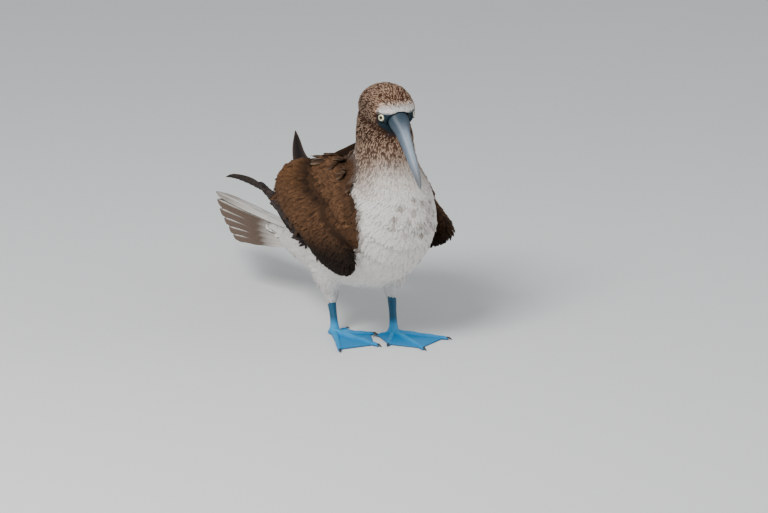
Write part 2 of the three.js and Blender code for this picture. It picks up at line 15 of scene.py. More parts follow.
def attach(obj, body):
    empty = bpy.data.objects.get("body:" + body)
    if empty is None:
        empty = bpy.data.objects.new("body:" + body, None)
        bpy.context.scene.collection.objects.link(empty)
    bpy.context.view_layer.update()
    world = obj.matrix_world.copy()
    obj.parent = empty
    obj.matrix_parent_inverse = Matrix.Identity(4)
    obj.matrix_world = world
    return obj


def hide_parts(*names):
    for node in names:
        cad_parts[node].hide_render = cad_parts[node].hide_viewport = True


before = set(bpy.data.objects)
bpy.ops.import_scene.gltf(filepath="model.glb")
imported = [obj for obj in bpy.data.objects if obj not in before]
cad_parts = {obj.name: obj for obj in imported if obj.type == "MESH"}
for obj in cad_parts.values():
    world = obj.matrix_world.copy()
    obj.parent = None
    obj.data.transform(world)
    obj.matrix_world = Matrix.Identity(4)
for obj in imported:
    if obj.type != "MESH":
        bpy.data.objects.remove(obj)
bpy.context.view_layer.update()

# Flesh. Trunk, neck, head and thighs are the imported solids, and the arm of each wing and the
# shoulder over its root are rounded forms through stations. They are joined to one skin that
# lies inside the solids by the depth of the coat.
FEET = np.array([-6.5, -107.5, 0.0])
SKIN_CELL = 2.1
COAT_DEPTH = 1.2

ARM_STATIONS = [
    ((-56, 40, 238), (8, -2, 0), (-2, 14, 3)),
    ((-62, 41, 230), (15, -6, 2), (-4, 30, 6)),
    ((-69, 41, 213), (18, -9, 5), (-3, 45, 9)),
    ((-73, 34, 192), (19, -12, 6), (0, 56, 12)),
    ((-75, 8, 172), (19, -8, 3), (0, 68, 14)),
    ((-76, -18, 154), (19, -6, 0), (2, 72, 14)),
    ((-76, -34, 138), (18, -6, 0), (3, 60, 10)),
    ((-75, -40, 124), (14, -4, 0), (3, 44, 6)),
    ((-73, -42, 114), (6, -2, 0), (2, 20, 2)),
]
SHOULDER_STATIONS = [
    ((-55, -68, 176), (6, 0, 0), (0, -5, 4)),
    ((-56, -58, 192), (16, 0, 2), (0, -16, 12)),
    ((-52, -38, 211), (20, 0, 4), (0, -18, 20)),
    ((-47, -10, 224), (24, 0, 6), (0, -10, 24)),
    ((-44, 22, 227), (25, 0, 8), (0, 0, 24)),
    ((-42, 52, 217), (20, 0, 8), (0, 6, 18)),
    ((-40, 74, 204), (8, 0, 3), (0, 3, 7)),
]
HANDS = {
    "right": [((-76, 30, 152), (0, 6, 26), (4, 0, 0)),
              ((-76, 96, 172), (-14, 2, 26), (3.5, 0, 1.5)),
              ((-62, 160, 181), (-20, 4, 15), (2.4, 0, 2.6)),
              ((-45, 220, 172), (-19, 4, 14), (1.6, 0, 2)),
              ((-26, 285, 157), (-12, 2, 9), (1.1, 0, 1.4)),
              ((-8, 345, 139), (-2, 0, 1.5), (0.6, 0, 0.8))],
    "left": [((82, 30, 154), (0, 6, 26), (-4, 0, 0)),
             ((82, 96, 154), (8, 0, 28), (-3.5, 0, 1)),
             ((74, 160, 148), (16, 3, 22), (-3, 0, 2.5)),
             ((64, 228, 152), (15, 2, 17), (-2, 0, 2)),
             ((66, 270, 170), (12, -8, 11), (-1.3, -0.8, 1.4)),
             ((80, 302, 203), (2, -1.4, 1), (-0.6, -0.6, 0.6))],
}
TAIL_BASE_STATIONS = [
    ((0, 166, 97), (21, 0, 0), (0, 0, 9)), ((0, 186, 97), (22, 0, 0), (0, 0, 7.5)),
    ((0, 206, 98), (19, 0, 0), (0, 0, 5.5)), ((0, 220, 99), (11, 0, 0), (0, 0, 3)),
]
# The fleshy share of the hand's width, from the wrist on, and how much thicker flesh makes it
PALM = {"wide": (0.9, 0.8, 0.4), "thick": 1.5}
# The left arm is moved by shift, its middle is held out from the body, and its wrist drawn back
LEFT_ARM = {"shift": (2, 0, 14), "held": 20, "drawn": (-16, 16)}
SIDES = {"right": -1, "left": 1}


def placed(points):
    """Millimetres from between the feet to metres in the frame."""
    return (np.asarray(points, float) + FEET) / 1000


def glide(points, share):
    """The point a share of the way along a smooth line through points."""
    points = np.asarray(points, float)
    last = len(points) - 1
    along = min(max(share, 0.0), 1.0) * last
    i = min(int(along), last - 1)
    u = along - i
    a, b = points[i], points[i + 1]
    before = points[i - 1] if i > 0 else 2 * a - b
    after = points[i + 2] if i + 2 <= last else 2 * b - a
    lead, trail = (b - before) / 2, (after - a) / 2
    return ((2 * u**3 - 3 * u**2 + 1) * a + (u**3 - 2 * u**2 + u) * lead
            + (3 * u**2 - 2 * u**3) * b + (u**3 - u**2) * trail)


def rounded_form(stations, around, along):
    """A closed form through stations of centre, half axis across and half axis up."""
    form = bmesh.new()
    bmesh.ops.create_uvsphere(form, u_segments=around, v_segments=along, radius=1)
    centres, acrosses, ups = ([station[k] for station in stations] for k in range(3))
    for vert in form.verts:
        row = math.acos(max(-1.0, min(1.0, vert.co.z))) / math.pi * along
        share = (row - 1) / (along - 2)
        spot = glide(centres, share)
        if 0.5 < row < along - 0.5:
            angle = math.atan2(vert.co.y, vert.co.x)
            spot = spot + glide(acrosses, share) * math.sin(angle)
            spot = spot + glide(ups, share) * math.cos(angle)
        vert.co = placed(spot)
    bmesh.ops.recalc_face_normals(form, faces=form.faces)
    return form


def mirrored(stations):
    """The stations of the right side turned into those of the left."""
    return [((-centre[0], *centre[1:]), (-across[0], *across[1:]), (-up[0], *up[1:]))
            for centre, across, up in stations]


def left_arm_stations():
    """The left arm, held a little further from the body than the right one."""
    stations = []
    for i, (centre, across, up) in enumerate(mirrored(ARM_STATIONS)):
        share = i / (len(ARM_STATIONS) - 1)
        move = np.array(LEFT_ARM["shift"], float)
        move[0] += LEFT_ARM["held"] * math.sin(math.pi * share) + LEFT_ARM["drawn"][0] * share
        move[1] += LEFT_ARM["drawn"][1] * share
        stations.append((centre + move, across, up))
    return stations


ARMS = {"right": ARM_STATIONS, "left": left_arm_stations()}
SHOULDERS = {"right": SHOULDER_STATIONS, "left": mirrored(SHOULDER_STATIONS)}


def solid_copy(name):
    """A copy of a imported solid, welded."""
    form = bmesh.new()
    form.from_mesh(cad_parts[name].data)
    bmesh.ops.remove_doubles(form, verts=form.verts, dist=1e-6)
    return form


def joined(name, forms):
    """One object whose mesh holds several forms."""
    whole = bmesh.new()
    for form in forms:
        lump = bpy.data.meshes.new("lump")
        form.to_mesh(lump)
        whole.from_mesh(lump)
        bpy.data.meshes.remove(lump)
    mesh = bpy.data.meshes.new(name)
    whole.to_mesh(mesh)
    whole.free()
    piece = bpy.data.objects.new(name, mesh)
    bpy.context.scene.collection.objects.link(piece)
    return piece


def smooth(form):
    for face in form.faces:
        face.smooth = True


def one_body(name, forms, cell, smoothing, inward=0):
    """One closed object around forms that overlap, smoothed, and drawn in."""
    body = joined(name, forms)
    cells = body.modifiers.new("one surface", "REMESH")
    cells.mode = "VOXEL"
    cells.voxel_size = cell / 1000
    shaped = body.evaluated_get(bpy.context.evaluated_depsgraph_get())
    dense = bmesh.new()
    dense.from_mesh(bpy.data.meshes.new_from_object(shaped))
    body.modifiers.clear()
    for _ in range(smoothing):
        bmesh.ops.smooth_vert(dense, verts=dense.verts, factor=0.5,
                              use_axis_x=True, use_axis_y=True, use_axis_z=True)
    dense.normal_update()
    for vert in dense.verts:
        vert.co -= vert.normal * inward / 1000
    smooth(dense)
    dense.to_mesh(body.data)
    dense.free()
    return body


flesh = {name: solid_copy(name)
         for name in ("torso", "neck", "head", "thigh_right", "thigh_left")}
for side_name in SIDES:
    flesh[f"arm_{side_name}"] = rounded_form(ARMS[side_name], around=28, along=24)
    flesh[f"shoulder_{side_name}"] = rounded_form(SHOULDERS[side_name], around=28, along=20)
    flesh[f"hand_{side_name}"] = rounded_form(
        [(at, np.array(across) * wide, np.array(up) * PALM["thick"])
         for (at, across, up), wide in zip(HANDS[side_name], PALM["wide"])],
        around=20, along=20)
flesh["tail_base"] = rounded_form(TAIL_BASE_STATIONS, around=24, along=16)
skin = one_body("skin", flesh.values(), SKIN_CELL, smoothing=5, inward=COAT_DEPTH)

# Plumage markings. Skin and coat take one colour from the place where a feather grows: streaky
# brown on the head, fading down the neck, white below, brown over shoulders and wings.
HEAD_TURN = -9
HEAD_PIVOT = np.array([-1.0, -60.0, 0.0])
part_names = np.array(list(flesh))
trees = [BVHTree.FromBMesh(form) for form in flesh.values()]


def nearest_parts(points):
    """The name of the part that each point in millimetres lies on."""
    spots = placed(points)
    gaps = [[tree.find_nearest(spot)[3] for spot in spots] for tree in trees]
    return part_names[np.argmin(gaps, axis=0)]


def dyed(colour):
    """A colour written as RRGGBB, in the linear values that a shader takes."""
    parts = np.array([int(colour[i:i + 2], 16) / 255 for i in (0, 2, 4)])
    return np.where(parts <= 0.04045, parts / 12.92, ((parts + 0.055) / 1.055) ** 2.4)


def ramp(values, low, high):
    """0 at low and 1 at high, eased between."""
    share = np.clip((values - low) / (high - low), 0, 1)
    return share * share * (3 - 2 * share)


def faced(points):
    """Points in millimetres, with the head turned back to look straight ahead."""
    turn = math.radians(-HEAD_TURN)
    x, y = points[:, 0] - HEAD_PIVOT[0], points[:, 1] - HEAD_PIVOT[1]
    return np.column_stack([x * math.cos(turn) - y * math.sin(turn),
                            x * math.sin(turn) + y * math.cos(turn) + HEAD_PIVOT[1],
                            points[:, 2]])


def blended(under, over, share):
    """Two colours or lists of colours mixed by a share for each point."""
    return under + (over - under) * np.asarray(share)[:, None]


def neck_streaks(points):
    """How brown the streaks are: 1 on the head, 0 on the breast, lower down at the sides."""
    x, y, z = points.T
    end = 222 - 20 * ramp(abs(x), 24, 48) + 20 * ramp(y, -60, -10)
    return ramp(z, end, end + 74)


def mantle(points):
    """How far points of the trunk are in the brown of the back and of the flanks."""
    x, y, z = points.T
    end = -40 - 36 * ramp(abs(x), 26, 46)
    back = ramp(y, end, end + 30) * ramp(z, 196, 226) * (1 - ramp(y, 96, 150))
    flank = ramp(abs(x), 50, 58) * ramp(y, -90, -74) * ramp(z, 128, 150) * (1 - ramp(y, 60, 90))
    return np.maximum(back, flank)


def bare_face(points):
    """How far each point is in the bare skin between eye, bill and throat."""
    _, y, z = faced(points).T
    edge = 80 + 0.35 * (z - 312).clip(0)
    return ramp(-y, edge, edge + 4) * ramp(z, 297, 301) * (1 - ramp(z, 331, 334))


WHITE, CREAM, SPOT = dyed("dbd6d0"), dyed("c8a88e"), dyed("84766c")
HEAD_BROWN, WARM_BROWN, DARK_BROWN = dyed("523424"), dyed("4a3322"), dyed("120c08")
# The lighter warm brown is a painted highlight on the top of the arm and shoulder
WING_TOP_HIGHLIGHT, FACE_SKIN = dyed("573a22"), dyed("1c2e37")
QUILL_DARK, QUILL_RIM = dyed("221c1a"), dyed("4d4038")
# Soft grey spots low on the front of the breast, across by height
SPOT_SIZE, SPOT_SHARE = 4, 0.85
BREAST_SPOTS = [(-14, 206), (2, 199), (15, 208), (25, 196), (-8, 187), (8, 180), (19, 186),
                (-1, 172), (28, 176), (12, 166), (-22, 192), (34, 188), (21, 170), (-12, 170),
                (4, 214), (37, 168), (-27, 178), (31, 203)]


def plumage(points, roots=None):
    """The colour at points in millimetres of what is rooted there, or at roots."""
    labels = nearest_parts(points if roots is None else roots)
    y, z = points[:, 1], points[:, 2]
    behind_bill = faced(points)[:, 1]
    nape = ramp(behind_bill, -92, -66) * (1 - ramp(z, 336, 352))
    colours = blended(WHITE, HEAD_BROWN * (1 - 0.55 * nape[:, None]), neck_streaks(points))
    forehead = ramp(z, 329, 331) * (1 - ramp(z, 333, 347)) * ramp(-behind_bill, 86, 93)
    colours = blended(colours, WHITE, forehead)
    colours = blended(colours, FACE_SKIN, bare_face(points))
    for spot in BREAST_SPOTS:
        gap = np.linalg.norm(points[:, [0, 2]] - spot, axis=1)
        share = SPOT_SHARE * np.exp(-(gap / SPOT_SIZE) ** 2) * (y < -80)
        colours = blended(colours, SPOT, share)
    is_trunk = np.isin(labels, ["torso", "neck"])
    colours = blended(colours, WARM_BROWN, is_trunk * mantle(points))
    is_hand = np.isin(labels, ["hand_right", "hand_left"])
    is_wing = is_hand | np.isin(labels, [f"{part}_{side}" for part in ("arm", "shoulder")
                                         for side in SIDES])
    wing = blended(WARM_BROWN, DARK_BROWN, 0.95 * ramp(-z, -180, -140))
    # Painted highlight: a lighter, warmer brown over the top of arm and shoulder, where the light
    # falls
    wing = blended(wing, WING_TOP_HIGHLIGHT, 0.5 * ramp(z, 196, 232) * ramp(y, -20, 40))
    wing = np.where(is_hand[:, None], QUILL_DARK * 1.8, wing)
    return np.where(is_wing[:, None], wing, colours)


# Skin. Each of its faces knows the part it lies on, and its map is an unwrap of its own shape,
# on which every small feather has the place of its root.
def listed(items, what, width=1, kind=float):
    """A value, or a row of width values, for each face, point or corner of a mesh."""
    values = np.empty(len(items) * width, kind)
    items.foreach_get(what, values)
    return values.reshape(-1, width) if width > 1 else values


skin_mesh = skin.data
centres = listed(skin_mesh.polygons, "center", 3) * 1000 - FEET
normals = listed(skin_mesh.polygons, "normal", 3)
areas = listed(skin_mesh.polygons, "area") * 1e6
skin_parts = nearest_parts(centres)

bpy.context.view_layer.objects.active = skin
skin.select_set(True)
bpy.ops.object.mode_set(mode="EDIT")
bpy.ops.mesh.select_all(action="SELECT")
bpy.ops.uv.smart_project(angle_limit=math.radians(70), island_margin=0.004)
bpy.ops.object.mode_set(mode="OBJECT")
skin.select_set(False)
skin_mesh.uv_layers.active.name = "OFBake"
corners = listed(skin_mesh.uv_layers["OFBake"].data, "uv", 2)
first_loops = listed(skin_mesh.polygons, "loop_start", kind=int)
face_uvs = (corners[first_loops] + corners[first_loops + 2]) / 2


def coloured(mesh, colours):
    """A colour for each point of a mesh, which its material reads."""
    layer = mesh.attributes.new("plumage", "FLOAT_COLOR", "POINT")
    layer.data.foreach_set("color", np.column_stack([colours, np.ones(len(colours))]).ravel())


# The skin is darker than the brown feathers over it, and as pale as the white ones
UNDER_COAT = 0.55
skin_points = listed(skin_mesh.vertices, "co", 3) * 1000 - FEET
skin_colours = plumage(skin_points)
is_pale = ramp(skin_colours.mean(axis=1), 0.25, 0.5)
shown = np.clip(bare_face(skin_points) + is_pale, 0, 1)
coloured(skin_mesh, skin_colours * (UNDER_COAT + (1 - UNDER_COAT) * shown)[:, None])

NOISE_TONES = 0.72, 1.28


def fine_noise(name, scale):
    """A group that breaks a colour up a little and gives a fine height, on Object coordinates."""
    group = bpy.data.node_groups.new(name, "ShaderNodeTree")
    group.interface.new_socket("Colour", in_out="INPUT", socket_type="NodeSocketColor")
    group.interface.new_socket("Colour", in_out="OUTPUT", socket_type="NodeSocketColor")
    group.interface.new_socket("Height", in_out="OUTPUT", socket_type="NodeSocketFloat")
    nodes, links = group.nodes, group.links
    entry, leave = nodes.new("NodeGroupInput"), nodes.new("NodeGroupOutput")
    place = nodes.new("ShaderNodeTexCoord")
    noise = nodes.new("ShaderNodeTexNoise")
    noise.inputs["Scale"].default_value = scale
    noise.inputs["Detail"].default_value = 3
    tone = nodes.new("ShaderNodeMapRange")
    tone.inputs["To Min"].default_value, tone.inputs["To Max"].default_value = NOISE_TONES
    mixed = nodes.new("ShaderNodeMix")
    mixed.data_type = "RGBA"
    mixed.blend_type = "MULTIPLY"
    mixed.inputs["Factor"].default_value = 1
    links.new(place.outputs["Object"], noise.inputs["Vector"])
    links.new(noise.outputs["Fac"], tone.inputs["Value"])
    links.new(entry.outputs["Colour"], mixed.inputs["A"])
    links.new(tone.outputs["Result"], mixed.inputs["B"])
    links.new(mixed.outputs["Result"], leave.inputs["Colour"])
    links.new(noise.outputs["Fac"], leave.inputs["Height"])
    return group


FINE_NOISE = fine_noise("fine noise", 420)
BUMP_STRENGTH = 0.5


def feathered(name, roughness, depth, specular=0.5):
    """The finish of feathers, skin and horn, whose colour is each point's own and whose fine
    grain is depth millimetres deep."""
    material = bpy.data.materials.new(name)
    material.use_nodes = True
    nodes, links = material.node_tree.nodes, material.node_tree.links
    shader = nodes["Principled BSDF"]
    shader.inputs["Roughness"].default_value = roughness
    shader.inputs["Specular IOR Level"].default_value = specular
    colour = nodes.new("ShaderNodeAttribute")
    colour.attribute_name = "plumage"
    broken = nodes.new("ShaderNodeGroup")
    broken.node_tree = FINE_NOISE
    bump = nodes.new("ShaderNodeBump")
    bump.inputs["Strength"].default_value = BUMP_STRENGTH
    bump.inputs["Distance"].default_value = depth / 1000
    links.new(colour.outputs["Color"], broken.inputs["Colour"])
    links.new(broken.outputs["Colour"], shader.inputs["Base Color"])
    links.new(broken.outputs["Height"], bump.inputs["Height"])
    links.new(bump.outputs["Normal"], shader.inputs["Normal"])
    return material


DOWN = feathered("down", roughness=0.85, depth=0.6, specular=0.15)
skin_mesh.materials.append(DOWN)
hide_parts("torso", "neck", "head", "thigh_right", "thigh_left")
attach(skin, "root")

# Bill, long and tapering to a slightly hooked tip, of smooth blue-grey horn in an upper and a
# lower half that meet in a fine line. It grows from the bare skin of the face.
BILL = {"root": (0, -96, 324), "pitch": 47, "cut": -4.7, "gap": 0.3}
BILL_GROOVE = {"over": 4.2, "falls": 0.025, "wide": 0.8, "deep": 0.45, "from": 4, "to": 84}
# Along from the root, half width, and height over and under the middle
BILL_STATIONS = [(-8, 14.8, 8.4, 15.8), (4, 13.8, 8.8, 14.8), (22, 9.6, 8.8, 11.6),
                 (45, 7.1, 7.4, 8.9), (68, 5.6, 6.4, 7.1), (86, 4.2, 5.2, 5.8),
                 (97, 2.7, 3.2, 5.1), (104, 0.9, -1, 3.5)]
# The pale horn is painted light on the ridge; the dark horn is the root's own colour and also
# painted shade on the flanks
HORN, HORN_LIT_RIDGE, HORN_DARK_AND_SHADE = dyed("5b6775"), dyed("98a3b0"), dyed("293a45")
HORN_GREEN, HORN_TIP = dyed("414a4a"), dyed("5c5a5a")
pitch = math.radians(BILL["pitch"])
bill_along = np.array([0, -math.cos(pitch), -math.sin(pitch)])
bill_over = np.array([0, -math.sin(pitch), math.cos(pitch)])


def assembled(name, forms, finish, slot_name, *nodes):
    """One piece of several forms, in one finish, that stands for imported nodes."""
    piece = joined(name, forms)
    piece.data.materials.append(finish)
    for form in forms:
        form.free()
    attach(piece, "root")
    if nodes:
        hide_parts(*nodes)


def turned_head(points):
    """Points of a head that looks straight ahead, turned with it."""
    turn = math.radians(HEAD_TURN)
    x, y, z = np.moveaxis(np.asarray(points, float), -1, 0)
    y = y - HEAD_PIVOT[1]
    return np.stack([HEAD_PIVOT[0] + x * math.cos(turn) - y * math.sin(turn),
                     HEAD_PIVOT[1] + x * math.sin(turn) + y * math.cos(turn), z], axis=-1)


def turned_way(way):
    """A direction on a head that looks straight ahead, turned with it."""
    return turned_head(way) - turned_head((0, 0, 0))


def bill_spot(along, over):
    return np.array(BILL["root"]) + bill_along * along + bill_over * over


bill_rings = [(turned_head(bill_spot(along, (over - under) / 2)), turned_way((half, 0, 0)),
               turned_way(bill_over * (over + under) / 2))
              for along, half, over, under in BILL_STATIONS]
bill_alongs, bill_halves = list(zip(*BILL_STATIONS))[:2]
culmen = turned_way(bill_over)
cut_spot = turned_head(bill_spot(0, BILL["cut"]))
bill_way, bill_foot = turned_way(bill_along), turned_head(bill_spot(0, 0))
bill_side = np.cross(bill_way, culmen)


def horn(name, node, part_sign):
    """The upper (1) or lower (-1) half of the bill, with a groove along each side. It is dark at
    the root, with painted shade along the flanks, painted light on the ridge, and greenish below."""
    form = rounded_form(bill_rings, around=40, along=64)
    shades = form.verts.layers.float_color.new("plumage")
    for vert in form.verts:
        spot = np.array(vert.co) * 1000 - FEET
        along = np.dot(spot - bill_foot, bill_way)
        over = np.dot(spot - cut_spot, culmen)
        sideways = np.dot(spot - bill_foot, bill_side)
        off_groove = over - BILL_GROOVE["over"] + along * BILL_GROOVE["falls"]
        if BILL_GROOVE["from"] < along < BILL_GROOVE["to"]:
            depth = BILL_GROOVE["deep"] * math.exp(-(off_groove / BILL_GROOVE["wide"]) ** 2)
            vert.co -= Vector(bill_side * np.sign(sideways) * depth / 1000)
        # Painted light: the ridge of the upper half is paler, as if lit from above
        pale = math.exp(-(sideways / 6) ** 2) * (over > 0) * np.interp(along, (6, 34), (0, 0.9))
        shade = HORN + (HORN_LIT_RIDGE - HORN) * pale
        half = np.interp(along, bill_alongs, bill_halves)
        # Painted shade down the flanks, darker towards the edges and strongest near the root
        flank = np.interp(abs(sideways) / half, (0.5, 0.9), (0, 0.6)) * max(0, 1 - along / 96)
        shade = shade + (HORN_DARK_AND_SHADE - shade) * flank
        shade = shade + (HORN_GREEN - shade) * (0.7 if over < 0 else 0)
        shade = shade + (HORN_TIP - shade) * np.interp(along, (66, 92), (0, 0.8))
        vert[shades] = (*(shade + (HORN_DARK_AND_SHADE - shade) * np.interp(along, (2, 26), (0.9, 0))), 1)
    cut = placed(cut_spot + culmen * part_sign * BILL["gap"] / 2)
    bmesh.ops.bisect_plane(form, geom=[*form.verts, *form.edges, *form.faces], plane_co=cut,
                           plane_no=culmen * part_sign, clear_inner=True)
    bmesh.ops.holes_fill(form, edges=[edge for edge in form.edges if edge.is_boundary])
    bmesh.ops.recalc_face_normals(form, faces=form.faces)
    for face in form.faces:
        face.smooth = len(face.verts) < 5
    assembled(name, [form], HORN_FINISH, "bill_horn", node)


HORN_FINISH = feathered("horn", roughness=0.46, depth=0.15, specular=0.35)
horn("upper_bill", "bill_upper", 1)
horn("lower_bill", "bill_lower", -1)

# Eyes. A round pale-yellow iris with a small pupil under a clear front, looking a little ahead,
# in a low ring of bare lid.
EYE_AT = {"apart": 36.8, "y": -88, "z": 326}
EYE_SPOTS = {side_name: turned_head((side * EYE_AT["apart"] / 2, EYE_AT["y"], EYE_AT["z"]))
             for side_name, side in SIDES.items()}
EYE = {"radius": 7.4, "forward": 34, "up": 6}
LID = {"ring": 4.9, "thick": 0.85, "out": 5.5}
IRIS, IRIS_RIM, PUPIL, EYE_DARK = dyed("e3dcae"), dyed("a59a5e"), dyed("050505"), dyed("1c2026")
# Colours from the middle of the pupil out, by degrees round the ball
EYE_RINGS = {0: PUPIL, 17: PUPIL, 19: IRIS_RIM, 23: IRIS, 34: IRIS, 37: IRIS_RIM, 41: EYE_DARK}
EYE_FINISH = bpy.data.materials.new("eye")
EYE_FINISH.use_nodes = True
eye_shader = EYE_FINISH.node_tree.nodes["Principled BSDF"]
eye_shader.inputs["Roughness"].default_value = 0.06
eye_shader.inputs["Coat Weight"].default_value = 0.6
eye_colour = EYE_FINISH.node_tree.nodes.new("ShaderNodeAttribute")
eye_colour.attribute_name = "plumage"
EYE_FINISH.node_tree.links.new(eye_colour.outputs["Color"], eye_shader.inputs["Base Color"])


def in_one_colour(form, colour):
    shades = form.verts.layers.float_color.new("plumage")
    for vert in form.verts:
        vert[shades] = (*colour, 1)


for side_name, side in SIDES.items():
    ahead, lift = math.radians(EYE["forward"]), math.radians(EYE["up"])
    gaze = turned_way((side * math.cos(ahead) * math.cos(lift),
                       -math.sin(ahead) * math.cos(lift), math.sin(lift)))
    set_in = Matrix.Translation(placed(EYE_SPOTS[side_name])) @ Vector(gaze).to_track_quat(
        "Z", "Y").to_matrix().to_4x4()
    ball = bmesh.new()
    bmesh.ops.create_uvsphere(ball, u_segments=48, v_segments=64, radius=EYE["radius"] / 1000)
    shades = ball.verts.layers.float_color.new("plumage")
    for vert in ball.verts:
        away = math.degrees(vert.co.angle(Vector((0, 0, 1))))
        vert[shades] = (*(np.interp(away, list(EYE_RINGS), tones)
                          for tones in zip(*EYE_RINGS.values())), 1)
    ball.transform(set_in)
    smooth(ball)
    assembled(f"eye_{side_name}_ball", [ball], EYE_FINISH, "eye", f"eye_{side_name}")
    lid = bmesh.new()
    bmesh.ops.create_circle(lid, segments=12, radius=LID["thick"] / 1000,
                            matrix=Matrix.Translation((LID["ring"] / 1000, 0, LID["out"] / 1000))
                            @ Matrix.Rotation(math.radians(90), 4, "X"))
    bmesh.ops.spin(lid, geom=[*lid.verts, *lid.edges], cent=(0, 0, 0), axis=(0, 0, 1),
                   dvec=(0, 0, 0), angle=math.tau, steps=40, use_merge=True)
    bmesh.ops.remove_doubles(lid, verts=lid.verts, dist=1e-7)
    in_one_colour(lid, FACE_SKIN)
    lid.transform(set_in)
    bmesh.ops.recalc_face_normals(lid, faces=lid.faces)
    smooth(lid)
    assembled(f"lid_{side_name}", [lid], HORN_FINISH, "bill_horn")

# Coat. Every small feather is a closed vane of three sides that starts under the skin and lies
# along the body. They are sown over the faces of the skin, shortest round the bill.
SEED = 7
dice = np.random.default_rng(SEED)
# Share of the length, of the half width and of the height over the skin, from root to tip
SMALL_VANE = [(0.0, 0.55, 0.4), (0.42, 1.0, 1.0), (0.8, 0.72, 0.7), (1.0, 0.0, 0.0)]
UV_PATCH = 0.003
# Where one coat ends and the next begins: heights on the neck, and how far back on the trunk
HEAD_DOWN_TO, NECK_DOWN_TO, BREAST_BACK_TO = 292, 226, 10
OFF_EYES, OFF_BILL = 8.6, 0.8
# How deep a root is under the skin, and how far along the skin a feather has to point
ROOT_DEPTH, LIES_ALONG = 0.6, 0.35


def unit(vectors):
    """A vector, or each row of vectors, at a length of one."""
    return vectors / np.maximum(np.linalg.norm(vectors, axis=-1, keepdims=True), 1e-9)


def sown(faces, spacing):
    """Faces picked from those of the skin, one to each spacing squared of area, and the roots
    on them."""
    wanted = areas[faces] / (spacing * spacing)
    counts = (wanted + dice.random(len(faces))).astype(int)
    picked = np.repeat(faces, counts)
    shift = dice.normal(0, 0.33 * SKIN_CELL, (len(picked), 3))
    shift -= normals[picked] * np.sum(shift * normals[picked], axis=1, keepdims=True)
    return picked, centres[picked] + shift


def lay_coat(name, slot_name, picked, roots, lie, long, half, lift, tints, tips, thick=0.18,
             round_off=0.45, rim=0.0, uneven=0.09):
    """One object of small feathers that lie along lie. Sizes and ways are one for all feathers
    or one for each. Feathers go from tints at the root to tips at the end, and by rim also at
    their sides. None grows where it would stand off the skin."""
    out = unit(normals[picked] + dice.normal(0, 0.05, (len(picked), 3)))
    ahead = unit(lie) - out * np.sum(unit(lie) * out, axis=1, keepdims=True)
    lies_flat = np.linalg.norm(ahead, axis=1) > LIES_ALONG
    long, half, lift = (np.broadcast_to(size, len(picked))[lies_flat, None]
                        for size in (long, half, lift))
    picked, roots, tints, tips = (rows[lies_flat] for rows in (picked, roots, tints, tips))
    out, ahead = out[lies_flat], unit(ahead[lies_flat])
    across = np.cross(ahead, out)
    count = len(picked)
    points, colours, patches, shading = [], [], [], []
    tones = (1 + dice.normal(0, uneven, count)).clip(0.4, 1.8)[:, None]
    for t, width, height in SMALL_VANE:
        rise = lift * long * (1.5 * t - 0.75 * t * t) - ROOT_DEPTH * (1 - t) ** 2
        spine = roots + ahead * long * t + out * rise
        corners = [(0, thick * height)] if width == 0 else [(-1, 0), (1, 0), (0, thick)]
        for sideways, over in corners:
            points.append(spine + across * half * width * sideways + out * over)
            to_tip = min(1, t**2.5 + (rim * t if sideways else 0))
            colours.append((tints + (tips - tints) * to_tip) * tones)
            patches.append(face_uvs[picked] + UV_PATCH * np.array([sideways / 2, t - 0.5]))
            shading.append(unit(normals[picked] + across * sideways * round_off
                                + ahead * (t - 0.5) * round_off))
    per = len(points)
    points = np.stack(points, axis=1).reshape(-1, 3)
    colours = np.stack(colours, axis=1).reshape(-1, 3)
    patches = np.stack(patches, axis=1).reshape(-1, 2)
    shading = np.stack(shading, axis=1).reshape(-1, 3)
    faces, is_under = [(0, 1, 2)], [False]
    for row in range(len(SMALL_VANE) - 2):
        a, b = row * 3, row * 3 + 3
        for i, j in ((0, 1), (1, 2), (2, 0)):
            faces += [(a + i, b + j, a + j), (a + i, b + i, b + j)]
            is_under += [j == 1, j == 1]
    a, tip = (len(SMALL_VANE) - 2) * 3, per - 1
    faces += [(a + i, tip, a + j) for i, j in ((0, 1), (1, 2), (2, 0))]
    is_under += [True, False, False]
    corners = (np.array(faces)[None] + (np.arange(count) * per)[:, None, None]).reshape(-1)
    facing = np.where(np.tile(np.repeat(is_under, 3), count), -1, 1)[:, None]
    mesh = bpy.data.meshes.new(name)
    mesh.vertices.add(len(points))
    mesh.vertices.foreach_set("co", placed(points).ravel())
    mesh.loops.add(len(corners))
    mesh.loops.foreach_set("vertex_index", corners)
    mesh.polygons.add(len(corners) // 3)
    mesh.polygons.foreach_set("loop_start", np.arange(0, len(corners), 3))
    mesh.polygons.foreach_set("loop_total", np.full(len(corners) // 3, 3))
    mesh.update(calc_edges=True)
    mesh.polygons.foreach_set("use_smooth", np.ones(len(corners) // 3, bool))
    mesh.normals_split_custom_set(shading[corners] * facing)
    coloured(mesh, colours)
    mesh.uv_layers.new(name="OFBake").data.foreach_set("uv", patches[corners].ravel())
    mesh.materials.append(DOWN)
    coat = bpy.data.objects.new(name, mesh)
    bpy.context.scene.collection.objects.link(coat)
    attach(coat, "root")


def gaps_to(tree, points):
    """How far points are from a form, in millimetres."""
    return np.array([tree.find_nearest(spot)[3] for spot in placed(points)]) * 1000


